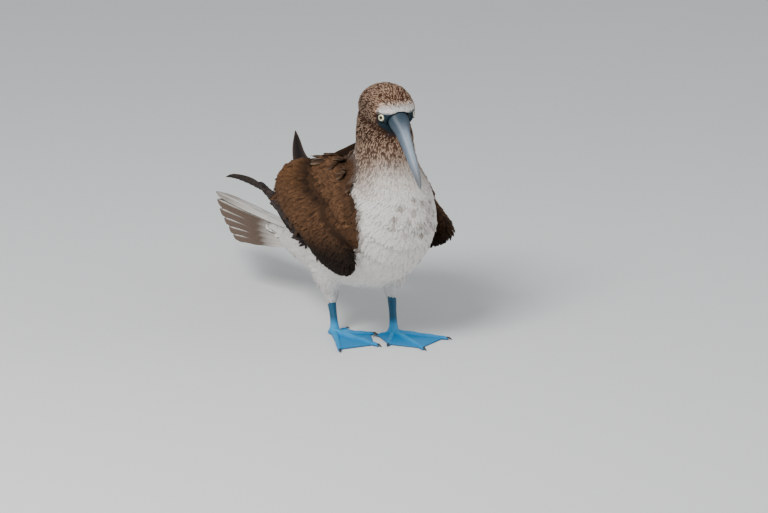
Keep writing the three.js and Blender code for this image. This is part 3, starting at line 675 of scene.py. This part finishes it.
# Head: the feathers part round the bill and grow longer towards the nape, half of them with
# pale tips
PARTING, NECK_TOP = (0, -96, 322), (0, -50, 300)
off_eyes = np.min([np.linalg.norm(centres - spot, axis=1) for spot in EYE_SPOTS.values()], axis=0)
head_faces = np.flatnonzero((centres[:, 2] > HEAD_DOWN_TO) & (off_eyes > OFF_EYES))
bill_tree = BVHTree.FromBMesh(rounded_form(bill_rings, around=24, along=24))
off_bill = gaps_to(bill_tree, centres[head_faces])
head_faces = head_faces[(bare_face(centres[head_faces]) < 0.5) & (off_bill > OFF_BILL)]
picked, roots = sown(head_faces, spacing=1.32)
from_bill = roots - turned_head(PARTING)
grown = ramp(np.linalg.norm(from_bill, axis=1), 14, 60)
lie = unit(from_bill) + grown[:, None] * np.array([0, 0.2, -1.1])
shade = plumage(roots)
is_white = ramp(shade.mean(axis=1), 0.1, 0.6)
tints = blended(shade * (0.5 + 0.6 * dice.random(len(roots)))[:, None], shade, is_white)
tips = blended(np.where(dice.random((len(roots), 1)) < 0.5,
                        CREAM * (0.4 + 0.6 * shade[:, :1] / HEAD_BROWN[0]), shade * 0.7),
               shade, is_white)
lay_coat("coat_head", "head_down", picked, roots, lie, long=4.2 + 4.2 * grown,
         half=0.56 + 0.3 * grown, lift=0.14 + 0.2 * grown, tints=tints, tips=tips, rim=0.1,
         uneven=0.14)

# Neck: brown streaks that thin out downwards, in feathers that grow from the head's size to
# the breast's
neck_faces = np.flatnonzero((centres[:, 2] <= HEAD_DOWN_TO) & (centres[:, 2] > NECK_DOWN_TO)
                            & np.isin(skin_parts, ["neck", "torso", "head"]))
picked, roots = sown(neck_faces, spacing=1.65)
lie = unit(roots - NECK_TOP) * 0.3 + [0, 0.12, -1.0]
shade = plumage(roots)
streaks = neck_streaks(roots)
own = dice.random(len(roots))
brown = shade / blended(WHITE, HEAD_BROWN, streaks) * HEAD_BROWN * (0.5 + 0.5 * own)[:, None]
tints = blended(WHITE, brown, ramp(streaks, 0, 0.9) * (1 - 0.45 * own * (1 - streaks)))
tips = blended(blended(WHITE, CREAM, streaks**0.7), brown,
               0.9 * (dice.random(len(roots)) < 0.1 + 0.4 * streaks) * streaks**0.6)
is_brown = (mantle(roots) > 0.3 + 0.4 * own)[:, None]
tints, tips = np.where(is_brown, shade * 0.8, tints), np.where(is_brown, shade * 1.3, tips)
lay_coat("coat_neck", "streaked_down", picked, roots, lie, long=8 + 4 * (1 - streaks),
         half=0.9 + 0.9 * (1 - streaks), lift=0.01 + 0.28 * streaks, tints=tints, tips=tips,
         thick=0.1, round_off=0.3, rim=0.12, uneven=0.06)

# Breast: soft, larger lower down, and coloured by where each feather ends
is_trunk = np.isin(skin_parts, ["torso", "neck"]) & (centres[:, 2] <= NECK_DOWN_TO)
picked, roots = sown(np.flatnonzero(is_trunk & (centres[:, 1] < BREAST_BACK_TO)),
                     spacing=2.4)
lie = np.array([[0, 0.55, -0.8]])
low = ramp(-roots[:, 2], -226, -170)
shade = plumage(roots + unit(lie) * (10 + 5 * low)[:, None], roots)
lay_coat("coat_breast", "white_down", picked, roots, lie, long=12 + 4 * low,
         half=1.8 + 1.3 * low, lift=0.01, tints=shade, tips=shade, thick=0.05, round_off=0.1,
         uneven=0.014)

# Rump, root of the tail and thighs: plain and white
SMOOTH_COAT = {"thick": 0.08, "round_off": 0.18, "uneven": 0.03}
PLAIN_COATS = {
    "coat_rump": {"on": is_trunk & (centres[:, 1] >= BREAST_BACK_TO), "spacing": 3.6,
                  "lie": (0, 1.0, -0.35), "root": 0.97,
                  "laid": {"long": 18, "half": 3.6, "lift": 0.012, **SMOOTH_COAT}},
    "coat_tail_base": {"on": (skin_parts == "tail_base") & (normals[:, 1] < 0.5),
                       "spacing": 4.2, "lie": (0, 1.0, 0.0), "root": 0.97,
                       "laid": {"long": 27, "half": 4.2, "lift": 0.01, **SMOOTH_COAT}},
    "coat_thighs": {"on": np.isin(skin_parts, ["thigh_right", "thigh_left"]), "spacing": 2.4,
                    "lie": (0, 0.1, -1.0), "root": 0.95,
                    "laid": {"long": 11, "half": 1.7, "lift": 0.06, "uneven": 0.04}},
}
for name, coat in PLAIN_COATS.items():
    picked, roots = sown(np.flatnonzero(coat["on"]), coat["spacing"])
    shade = plumage(roots)
    lay_coat(name, "white_down", picked, roots, coat["lie"], tints=shade * coat["root"],
             tips=shade, **coat["laid"])

# Wings: dark coverts on the hand, and brown ones with paler rims on arm and shoulder, with
# painted shade in the groove between those two
HAND_COVERTS_END = 132
# Painted shade in the groove between arm and shoulder: how far it reaches and how much it darkens
CREASE_SHADE = {"wide": 9, "dark": 0.7}


def shaded_in_crease(roots, other):
    """The colours of feathers, with painted shade where another form of the wing comes near."""
    near = gaps_to(trees[list(flesh).index(other)], roots)
    dark = CREASE_SHADE["dark"] * np.exp(-(near / CREASE_SHADE["wide"]) ** 2)
    return plumage(roots) * (1 - dark)[:, None]


for side_name, side in SIDES.items():
    on_hand = (skin_parts == f"hand_{side_name}") & (centres[:, 1] < HAND_COVERTS_END)
    picked, roots = sown(np.flatnonzero(on_hand), spacing=3.0)
    shade = plumage(roots)
    lay_coat(f"coat_hand_{side_name}", "dark_quills", picked, roots, (0, 1.0, -0.15), long=16,
             half=2.8, lift=0.0, tints=shade, tips=shade * 1.9, rim=0.3, uneven=0.12)
    picked, roots = sown(np.flatnonzero(skin_parts == f"arm_{side_name}"), spacing=2.5)
    to_wrist = ramp(-roots[:, 1], -20, 40)
    lie = blended(np.array([-side * 0.1, 0.8, -0.6]), np.array([0, 0.2, -1.0]), to_wrist)
    shade = shaded_in_crease(roots, f"shoulder_{side_name}")
    lay_coat(f"coat_wing_{side_name}", "brown_coverts", picked, roots, lie,
             long=13.5 - 5 * to_wrist, half=2.1 - 0.5 * to_wrist, lift=0.04, tints=shade * 0.72,
             tips=shade * 1.7, thick=0.3, rim=0.3, uneven=0.17)
    picked, roots = sown(np.flatnonzero(skin_parts == f"shoulder_{side_name}"), spacing=3.0)
    shade = shaded_in_crease(roots, f"arm_{side_name}")
    lay_coat(f"coat_shoulder_{side_name}", "brown_coverts", picked, roots,
             (-side * 0.05, 0.9, -0.5), long=15, half=3.2, lift=0.05, tints=shade * 0.62,
             tips=shade * 1.9, thick=0.3, rim=0.35, uneven=0.17)

# Long feathers of the wings. Scapulars lie over the shoulder, greater coverts, secondaries and
# tertials hang from the back of the arm, and dark primaries fold along the hand to its tip.
VANE_ACROSS, VANE_ALONG = 8, 24
VANE_THICK = 0.35
SHAFT_HIGH, SHAFT_DARK = 0.45, 0.7
# Outlines: the share of the half width by the share of the length
POINTED = ((0, 0.5), (0.2, 0.86), (0.5, 1.0), (0.75, 0.84), (0.9, 0.52), (1.0, 0.05))
ROUNDED = ((0, 0.55), (0.25, 0.9), (0.6, 1.0), (0.84, 0.86), (0.95, 0.55), (1.0, 0.12))


def square_to(way, heading):
    """The direction of way, turned square to heading."""
    return unit(way - heading * np.dot(way, heading))


def long_feather(spine, out, half, outline, tint, patch, dish=0.14, ragged=0.03):
    """A thin plate along a spine, dished to both sides of a raised shaft. spine and out give a
    place and a direction for a share of the length, tint a colour for a share and a side."""
    form = bmesh.new()
    bmesh.ops.create_grid(form, x_segments=VANE_ACROSS, y_segments=VANE_ALONG, size=1)
    shades = form.verts.layers.float_color.new("plumage")
    unwrap = form.loops.layers.uv.new("OFBake")
    shares, widths = zip(*outline)
    phase = dice.random() * 6
    smooth(form)
    for face in form.faces:
        for loop in face.loops:
            across, along = loop.vert.co.x / 2 + 0.5, loop.vert.co.y / 2 + 0.5
            loop[unwrap].uv = (patch[0] + patch[2] * across, patch[1] + patch[2] * along)
    for vert in form.verts:
        sideways, share = vert.co.x, vert.co.y / 2 + 0.5
        heading = unit(spine(min(share + 0.02, 1)) - spine(max(share - 0.02, 0)))
        face = square_to(out(share), heading)
        width = half * np.interp(share, shares, widths)
        width *= 1 + ragged * math.sin(23 * share + phase) * abs(sideways)
        ridge = SHAFT_HIGH * (1 - share) if sideways == 0 else 0
        vert.co = placed(spine(share) + np.cross(heading, face) * width * sideways
                         + face * (ridge - dish * width * sideways * sideways))
        vert[shades] = (*tint(share, sideways), 1)
    bmesh.ops.solidify(form, geom=form.faces, thickness=VANE_THICK / 1000)
    bmesh.ops.recalc_face_normals(form, faces=form.faces)
    return form


def patch_of(number, of):
    """The square of the unwrap that a long feather has to itself: two corners and a side."""
    side = math.ceil(math.sqrt(of))
    return ((number % side + 0.05) / side, (number // side + 0.05) / side, 0.9 / side)


def edged(middle, rim, tip_share=0.75):
    """A feather of one colour with a pale rim, and a darker shaft."""
    def tint(share, sideways):
        rimmed = max(abs(sideways) ** 4, ((share - tip_share) / (1 - tip_share)) ** 3
                     if share > tip_share else 0)
        shade = middle + (rim - middle) * min(rimmed, 1) * min(1, share * 2)
        return shade * (SHAFT_DARK if sideways == 0 else 1)
    return tint


def arched(root, heading, long, face, bend):
    """The line of a feather that rises a little towards face over its middle."""
    return lambda share: root + heading * long * share + face * long * bend * share * (1 - share)


ARM_BEND, ARM_LEAN = 0.1, 0.12
# From the elbow (0) to the wrist (1): behind and out place the roots on the arm's section
ARM_ROWS = [
    {"count": 8, "from": 0.16, "to": 0.62, "behind": 0.5, "out": 0.8, "half": 9,
     "long": (34, 26), "heading": (0.3, 0.76, -0.55), "dark": 0.35},
    {"count": 8, "from": 0.2, "to": 0.68, "behind": 0.72, "out": 0.45, "half": 10,
     "long": (50, 34), "heading": (0.4, 0.76, -0.42), "dark": 0.6},
    {"count": 10, "from": 0.4, "to": 0.84, "behind": 0.7, "out": 0.1, "half": 11,
     "long": (96, 52), "heading": (0.42, 0.78, -0.45), "dark": 0.8},
    {"count": 5, "from": 0.16, "to": 0.36, "behind": 0.74, "out": -0.1, "half": 13,
     "long": (110, 96), "heading": (0.42, 0.76, -0.5), "dark": 0.75},
]
SCAPULARS = {"rows": 6, "from": {"right": 0.34, "left": 0.5}, "to": 0.88,
             "columns": (-0.4, -0.1, 0.2, 0.5, 0.78), "set_in": 0.96, "half": 8.5,
             "long": (24, 40), "heading": (0.05, 0.94, -0.32), "bend": 0.16}
# Each primary is shorter than the one before, further down the hand and nearer to the body
PRIMARIES = {"count": 9, "from": 0.1, "shorter": 0.055, "lower": 0.1, "inward": 0.75,
             "half": {"right": 6, "left": 13}}


def arm_feathers(side_name, row, first, of):
    """A row of long feathers along the back of the arm."""
    centre_line, across_line, up_line = zip(*ARMS[side_name])
    heading = unit(np.array(row["heading"]) * (-SIDES[side_name], 1, 1))
    middle = WARM_BROWN + (DARK_BROWN - WARM_BROWN) * row["dark"]
    feathers = []
    for i in range(row["count"]):
        share = i / (row["count"] - 1)
        spot = row["from"] + (row["to"] - row["from"]) * share
        across, up = glide(across_line, spot), glide(up_line, spot)
        root = glide(centre_line, spot) + up * row["behind"] - across * row["out"]
        lean = square_to(-unit(across), heading) + ARM_LEAN * unit(up)
        long = row["long"][0] + (row["long"][1] - row["long"][0]) * share
        long *= 1 + dice.normal(0, 0.03)
        own = heading + dice.normal(0, 0.02, 3)
        feathers.append(long_feather(
            arched(root, own, long, lean, ARM_BEND), lambda _, lean=lean: lean, row["half"],
            ROUNDED, edged(middle * (1 + dice.normal(0, 0.06)), middle * 1.9),
            patch_of(first + i, of)))
    return feathers


def scapular_feathers(side_name):
    """Short rounded feathers over the shoulder, each row over the next."""
    centre_line, across_line, up_line = zip(*SHOULDERS[side_name])
    heading = unit(np.array(SCAPULARS["heading"]) * (-SIDES[side_name], 1, 1))
    rows, columns = SCAPULARS["rows"], SCAPULARS["columns"]
    first_spot, (short, longest) = SCAPULARS["from"][side_name], SCAPULARS["long"]
    feathers = []
    for number in range(rows * len(columns)):
        row, column = divmod(number, len(columns))
        share = row / (rows - 1)
        spot = first_spot + (SCAPULARS["to"] - first_spot) * share
        across, up = glide(across_line, spot), glide(up_line, spot)
        aside = columns[column]
        rise = math.sqrt(1 - aside * aside) * SCAPULARS["set_in"]
        root = glide(centre_line, spot) + across * aside * SCAPULARS["set_in"] + up * rise
        root = root + heading * (4 * (column % 2) - 10)
        face = square_to(across * aside / np.dot(across, across) + up * rise / np.dot(up, up),
                         heading)
        own = heading + face * 0.05 + dice.normal(0, 0.03, 3)
        feathers.append(long_feather(
            arched(root, own, short + (longest - short) * share, face, SCAPULARS["bend"]),
            lambda _, face=face: face, SCAPULARS["half"], ROUNDED,
            edged(WARM_BROWN * (0.6 + 0.1 * dice.random()), CREAM * 0.42, 0.82),
            patch_of(number, rows * len(columns))))
    return feathers


def primary(side_name, i):
    """A flight feather of the hand, folded over the one before it."""
    centre_line, across_line, up_line = zip(*HANDS[side_name])
    start, lowered = PRIMARIES["from"], 0.12 - PRIMARIES["lower"] * i
    end = 1 - PRIMARIES["shorter"] * i

    def spine(share):
        spot = start + (end - start) * share
        return (glide(centre_line, spot) + glide(across_line, spot) * lowered
                - unit(glide(up_line, spot)) * PRIMARIES["inward"] * i)

    return long_feather(spine, lambda share: -glide(up_line, start + (end - start) * share),
                        PRIMARIES["half"][side_name], POINTED,
                        edged(QUILL_DARK, QUILL_RIM, 0.97), patch_of(i, PRIMARIES["count"]),
                        dish=0.06)


for side_name in SIDES:
    rows = sum(row["count"] for row in ARM_ROWS)
    arm_feather_forms = []
    for row in ARM_ROWS:
        arm_feather_forms += arm_feathers(side_name, row, len(arm_feather_forms), rows)
    assembled(f"arm_feathers_{side_name}", arm_feather_forms, DOWN, "brown_coverts",
              f"wing_{side_name}_arm")
    assembled(f"scapulars_{side_name}", scapular_feathers(side_name), DOWN, "brown_coverts",
              f"shoulder_{side_name}")
    assembled(f"primaries_{side_name}",
              [primary(side_name, i) for i in range(PRIMARIES["count"])], DOWN, "dark_quills",
              f"wing_{side_name}_hand")

# Tail, a wedge of graduated feathers that droops like a roof to each side. The middle pair is
# pale, the others are grey-brown with white roots and shafts.
TAIL = {"ridge": 108, "rise": 3, "root": 158, "roof": 33, "layer": 1.5}
# From the middle out: length, place at the root and at the end, and half width
TAIL_QUILLS = [(222, 3, 4, 9.5), (206, 6, 13, 12), (185, 9.5, 23, 12.5), (161, 13, 32, 12.5),
               (137, 16.5, 40, 12), (116, 20, 47, 10.5)]
TAIL_BROWN, TAIL_PALE = dyed("5e5046"), dyed("d2ccc5")
BLUNT = ((0, 0.5), (0.2, 0.86), (0.5, 1.0), (0.8, 0.95), (0.93, 0.66), (1.0, 0.08))


def tail_feather(side, i):
    """One feather of the tail, laid under the one nearer to the middle."""
    long, start, end, half = TAIL_QUILLS[i]
    slope = math.radians(TAIL["roof"] / 3 if i == 0 else TAIL["roof"])
    roof = math.radians(TAIL["roof"])
    face = np.array([side * math.sin(slope), 0, math.cos(slope)])
    outward = np.array([side * math.cos(roof), 0, -math.sin(roof)])

    def spine(t):
        return (np.array([0, TAIL["root"] + long * t,
                          TAIL["ridge"] + TAIL["rise"] * t - TAIL["layer"] * i])
                + outward * (start + (end - start) * t)
                - face * (TAIL["layer"] if side > 0 and i == 0 else 0))

    def tint(share, sideways):
        white = max(1 - share * (1.25 if i == 0 else 2.3), 0) ** 0.6
        brown = TAIL_BROWN * (0.75 + 0.5 * share) if sideways * side > -0.2 else TAIL_BROWN * 1.25
        shade = brown + (TAIL_PALE - brown) * min(1, white + (0.35 if i == 0 else 0))
        return TAIL_PALE if sideways == 0 else shade

    return long_feather(spine, lambda t: face, half, BLUNT, tint,
                        patch_of(i + (len(TAIL_QUILLS) if side > 0 else 0),
                                 2 * len(TAIL_QUILLS)), dish=0.1)


assembled("tail_feathers", [tail_feather(side, i) for side in (-1, 1)
                            for i in range(len(TAIL_QUILLS))], DOWN, "tail_vanes", "tail")

# Legs and feet. Bright blue scaly skin over the shank and four toes joined by one web, with a
# flat sole. Each leg and foot is one body, and the dark claws are set in at the toes' tips.
LEGS = {
    "right": {"side": -1, "heel": (-30.5, 34, 50), "hock": (-31, 32, 40),
              "ankle": (-33.4, 21.7, 12), "bearing": 14},
    "left": {"side": 1, "heel": (37.5, -10, 56), "hock": (36.5, -13, 45),
             "ankle": (33.4, -21.7, 12), "bearing": 3},
}
TOES = [{"turned": 41, "length": 78, "thick": 4.1}, {"turned": 0, "length": 82, "thick": 4.3},
        {"turned": -38, "length": 54, "thick": 4.0}, {"turned": -92, "length": 26, "thick": 3.4}]
FOOT_CELL = 0.9
WEB = {"thick": 2.4, "reach": 0.9, "drawn_in": 0.9, "heel": 9}
SCALES = {"per_metre": 520, "wide": 0.14, "strength": 0.55, "deep": 0.0003}
# Along the toe, up, half width and half height, for a toe of 4 mm
CLAW_STATIONS = [(0, 2.9, 1.5, 1.5), (3, 3.1, 1.35, 1.4), (6, 2.0, 0.8, 0.85)]
CLAW_TIP = (7.6, 0.7, 0.2, 0.2)
CLAW_SET_IN = 2.5
BLUE, BLUE_PALE, BLUE_DEEP = dyed("0a84c0"), dyed("35a6d6"), dyed("0d4060")
BLUE_SHANK, CLAW = dyed("034f6d"), dyed("2d2b2b")


def toe_way(leg, toe):
    """The direction of a toe over the floor."""
    outward = math.radians(toe["turned"] - leg["bearing"]) * leg["side"]
    return np.array([math.sin(outward), -math.cos(outward), 0])


def toe_form(leg, toe):
    """A toe with three low knuckles."""
    way = toe_way(leg, toe)
    root = np.array(leg["ankle"]) * (1, 1, 0)
    stations = []
    for i in range(13):
        share = i / 12
        radius = toe["thick"] * np.interp(share, (0, 0.35, 0.7, 0.93, 1),
                                          (1.25, 1, 0.86, 0.8, 0.5))
        radius *= 1 + 0.07 * math.cos(share * 6 * math.pi)
        spot = root + way * toe["length"] * share + np.array([0, 0, radius * 0.55])
        stations.append((spot, np.cross(way, (0, 0, 1)) * radius * 0.9, (0, 0, radius)))
    return rounded_form(stations, around=14, along=30)


def web_form(leg):
    """The web, a thin plate whose edge draws in a little between the toes."""
    root = np.array(leg["ankle"]) * (1, 1, 0)
    tips = [root + toe_way(leg, toe) * toe["length"] for toe in TOES]
    rim = [root + toe_way(leg, TOES[1]) * -WEB["heel"]]
    for i, tip in enumerate(tips):
        rim.append(root + (tip - root) * WEB["reach"])
        if i + 1 < len(tips):
            rim.append(root + ((tip + tips[i + 1]) / 2 - root) * WEB["drawn_in"])
    plate = bmesh.new()
    plate.faces.new([plate.verts.new(placed(spot)) for spot in rim])
    lifted = bmesh.ops.extrude_face_region(plate, geom=plate.faces[:])
    bmesh.ops.translate(plate, vec=(0, 0, WEB["thick"] / 1000),
                        verts=[part for part in lifted["geom"]
                               if isinstance(part, bmesh.types.BMVert)])
    bmesh.ops.triangulate(plate, faces=plate.faces)
    bmesh.ops.recalc_face_normals(plate, faces=plate.faces)
    return plate


def scaly(name, roughness):
    """Bare skin in small scales, whose colour is each point's own."""
    material = feathered(name, roughness, depth=0.2)
    nodes, links = material.node_tree.nodes, material.node_tree.links
    place = nodes.new("ShaderNodeTexCoord")
    scales = nodes.new("ShaderNodeTexVoronoi")
    scales.feature = "DISTANCE_TO_EDGE"
    scales.inputs["Scale"].default_value = SCALES["per_metre"]
    heights = nodes.new("ShaderNodeMapRange")
    heights.inputs["From Max"].default_value = SCALES["wide"]
    relief = nodes.new("ShaderNodeBump")
    relief.inputs["Strength"].default_value = SCALES["strength"]
    relief.inputs["Distance"].default_value = SCALES["deep"]
    links.new(place.outputs["Object"], scales.inputs["Vector"])
    links.new(scales.outputs["Distance"], heights.inputs["Value"])
    links.new(heights.outputs["Result"], relief.inputs["Height"])
    links.new(nodes["Bump"].outputs["Normal"], relief.inputs["Normal"])
    links.new(relief.outputs["Normal"], nodes["Principled BSDF"].inputs["Normal"])
    return material


BLUE_SKIN = scaly("blue skin", roughness=0.42)
CLAW_FINISH = feathered("claw", roughness=0.35, depth=0.1)
for side_name, leg in LEGS.items():
    ankle, hock, heel = (np.array(leg[key]) for key in ("ankle", "hock", "heel"))
    below = ankle * (1, 1, 0)
    shank = rounded_form([
        (below + (0, 2, 1), (8, 0, 0), (0, 10.5, 0)),
        (below + (0, 0, 9), (6.4, 0, 0), (0, 7.2, 0)),
        (below + (0, 0.6, 16), (5.4, 0, 0), (0, 5.8, 0)),
        (ankle + (hock - ankle) * 0.5 + (0, 0, 2), (4.9, 0, 0), (0, 5.7, 0)),
        (hock, (5.7, 0, 0), (0, 6.9, 0)),
        (heel + (0, 1, 6), (6.2, 0, 0), (0, 7.4, 0)),
    ], around=24, along=30)
    foot = one_body(f"leg_and_foot_{side_name}",
                    [shank, web_form(leg), *(toe_form(leg, toe) for toe in TOES)], FOOT_CELL,
                    smoothing=3)
    spots = listed(foot.data.vertices, "co", 3)
    spots[:, 2] = np.maximum(spots[:, 2], 0)
    foot.data.vertices.foreach_set("co", spots.ravel())
    # Dark along the sole's edge, palest on the knuckles and deep blue up the shank
    heights = spots[:, 2] * 1000
    shades = blended(BLUE_DEEP, BLUE, ramp(heights, 0.4, 2.6))
    knuckle = 0.55 * ramp(heights, 3.5, 6.5) * (1 - ramp(heights, 12, 30))
    shades = blended(shades, BLUE_PALE, knuckle)
    shades = blended(shades, BLUE_SHANK, ramp(heights, 12, 26))
    coloured(foot.data, shades)
    foot.data.materials.clear()
    foot.data.materials.append(BLUE_SKIN)
    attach(foot, "root")
    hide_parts(f"leg_{side_name}", f"foot_{side_name}")
    claws = []
    for toe in TOES:
        way, size = toe_way(leg, toe), toe["thick"] / 4
        tip = below + way * (toe["length"] - CLAW_SET_IN)
        sideways = np.cross(way, (0, 0, 1))
        sized = [*(np.array(station) * (1, 1, size, size) for station in CLAW_STATIONS), CLAW_TIP]
        claw = rounded_form([(tip + way * along + (0, 0, up), sideways * half, (0, 0, high))
                             for along, up, half, high in sized], around=12, along=14)
        in_one_colour(claw, CLAW)
        smooth(claw)
        claws.append(claw)
    assembled(f"claws_{side_name}", claws, CLAW_FINISH, "bill_horn")

# Floor, light and camera: a pale floor, soft studio light from the upper left, and the
# photograph's viewing angle, 33 degrees to the bird's right and a little from above.
AZIMUTH, ELEVATION, AWAY = math.radians(-33), math.radians(17), 6.0
AIM_RIGHT, AIM_UP = 0.0270, 0.1046
LENS, SENSOR, SEES_TO = 208.3, 36, 50
FLOOR_HALF = 6
LIT_POINT = Vector((0, 0, 0.18))

floor_form = bmesh.new()
bmesh.ops.create_grid(floor_form, x_segments=1, y_segments=1, size=FLOOR_HALF)
floor = joined("floor", [floor_form])
floor_form.free()
floor_finish = bpy.data.materials.new("pale floor")
floor_finish.use_nodes = True
floor_shader = floor_finish.node_tree.nodes["Principled BSDF"]
floor_shader.inputs["Base Color"].default_value = (0.8, 0.8, 0.79, 1)
floor_shader.inputs["Roughness"].default_value = 0.8
floor.data.materials.append(floor_finish)

world = bpy.data.worlds.new("studio")
world.use_nodes = True
sky = world.node_tree.nodes["Background"]
sky.inputs["Color"].default_value = (0.9, 0.95, 1.0, 1)
sky.inputs["Strength"].default_value = 0.5
bpy.context.scene.world = world


def soft_light(name, spot, size, power):
    """A square light that looks at the middle of the bird."""
    lamp = bpy.data.lights.new(name, "AREA")
    lamp.size = size
    lamp.energy = power
    light = bpy.data.objects.new(name, lamp)
    light.location = spot
    light.rotation_euler = (LIT_POINT - Vector(spot)).to_track_quat("-Z", "Y").to_euler()
    bpy.context.scene.collection.objects.link(light)


soft_light("key", (-1.7, -0.9, 2.1), size=1.0, power=72)
soft_light("fill", (1.8, -1.6, 1.0), size=1.6, power=12)

back = Vector((math.sin(AZIMUTH) * math.cos(ELEVATION), -math.cos(AZIMUTH) * math.cos(ELEVATION),
               math.sin(ELEVATION)))
right = Vector((math.cos(AZIMUTH), math.sin(AZIMUTH), 0))
up = back.cross(right)
aim = right * AIM_RIGHT + up * AIM_UP + Vector(FEET / 1000)
long_lens = bpy.data.cameras.new("photograph")
long_lens.sensor_width, long_lens.lens, long_lens.clip_end = SENSOR, LENS, SEES_TO
camera = bpy.data.objects.new("photograph", long_lens)
camera.matrix_world = Matrix((right, up, back)).transposed().to_4x4()
camera.location = aim + back * AWAY
bpy.context.scene.collection.objects.link(camera)
bpy.context.scene.camera = camera
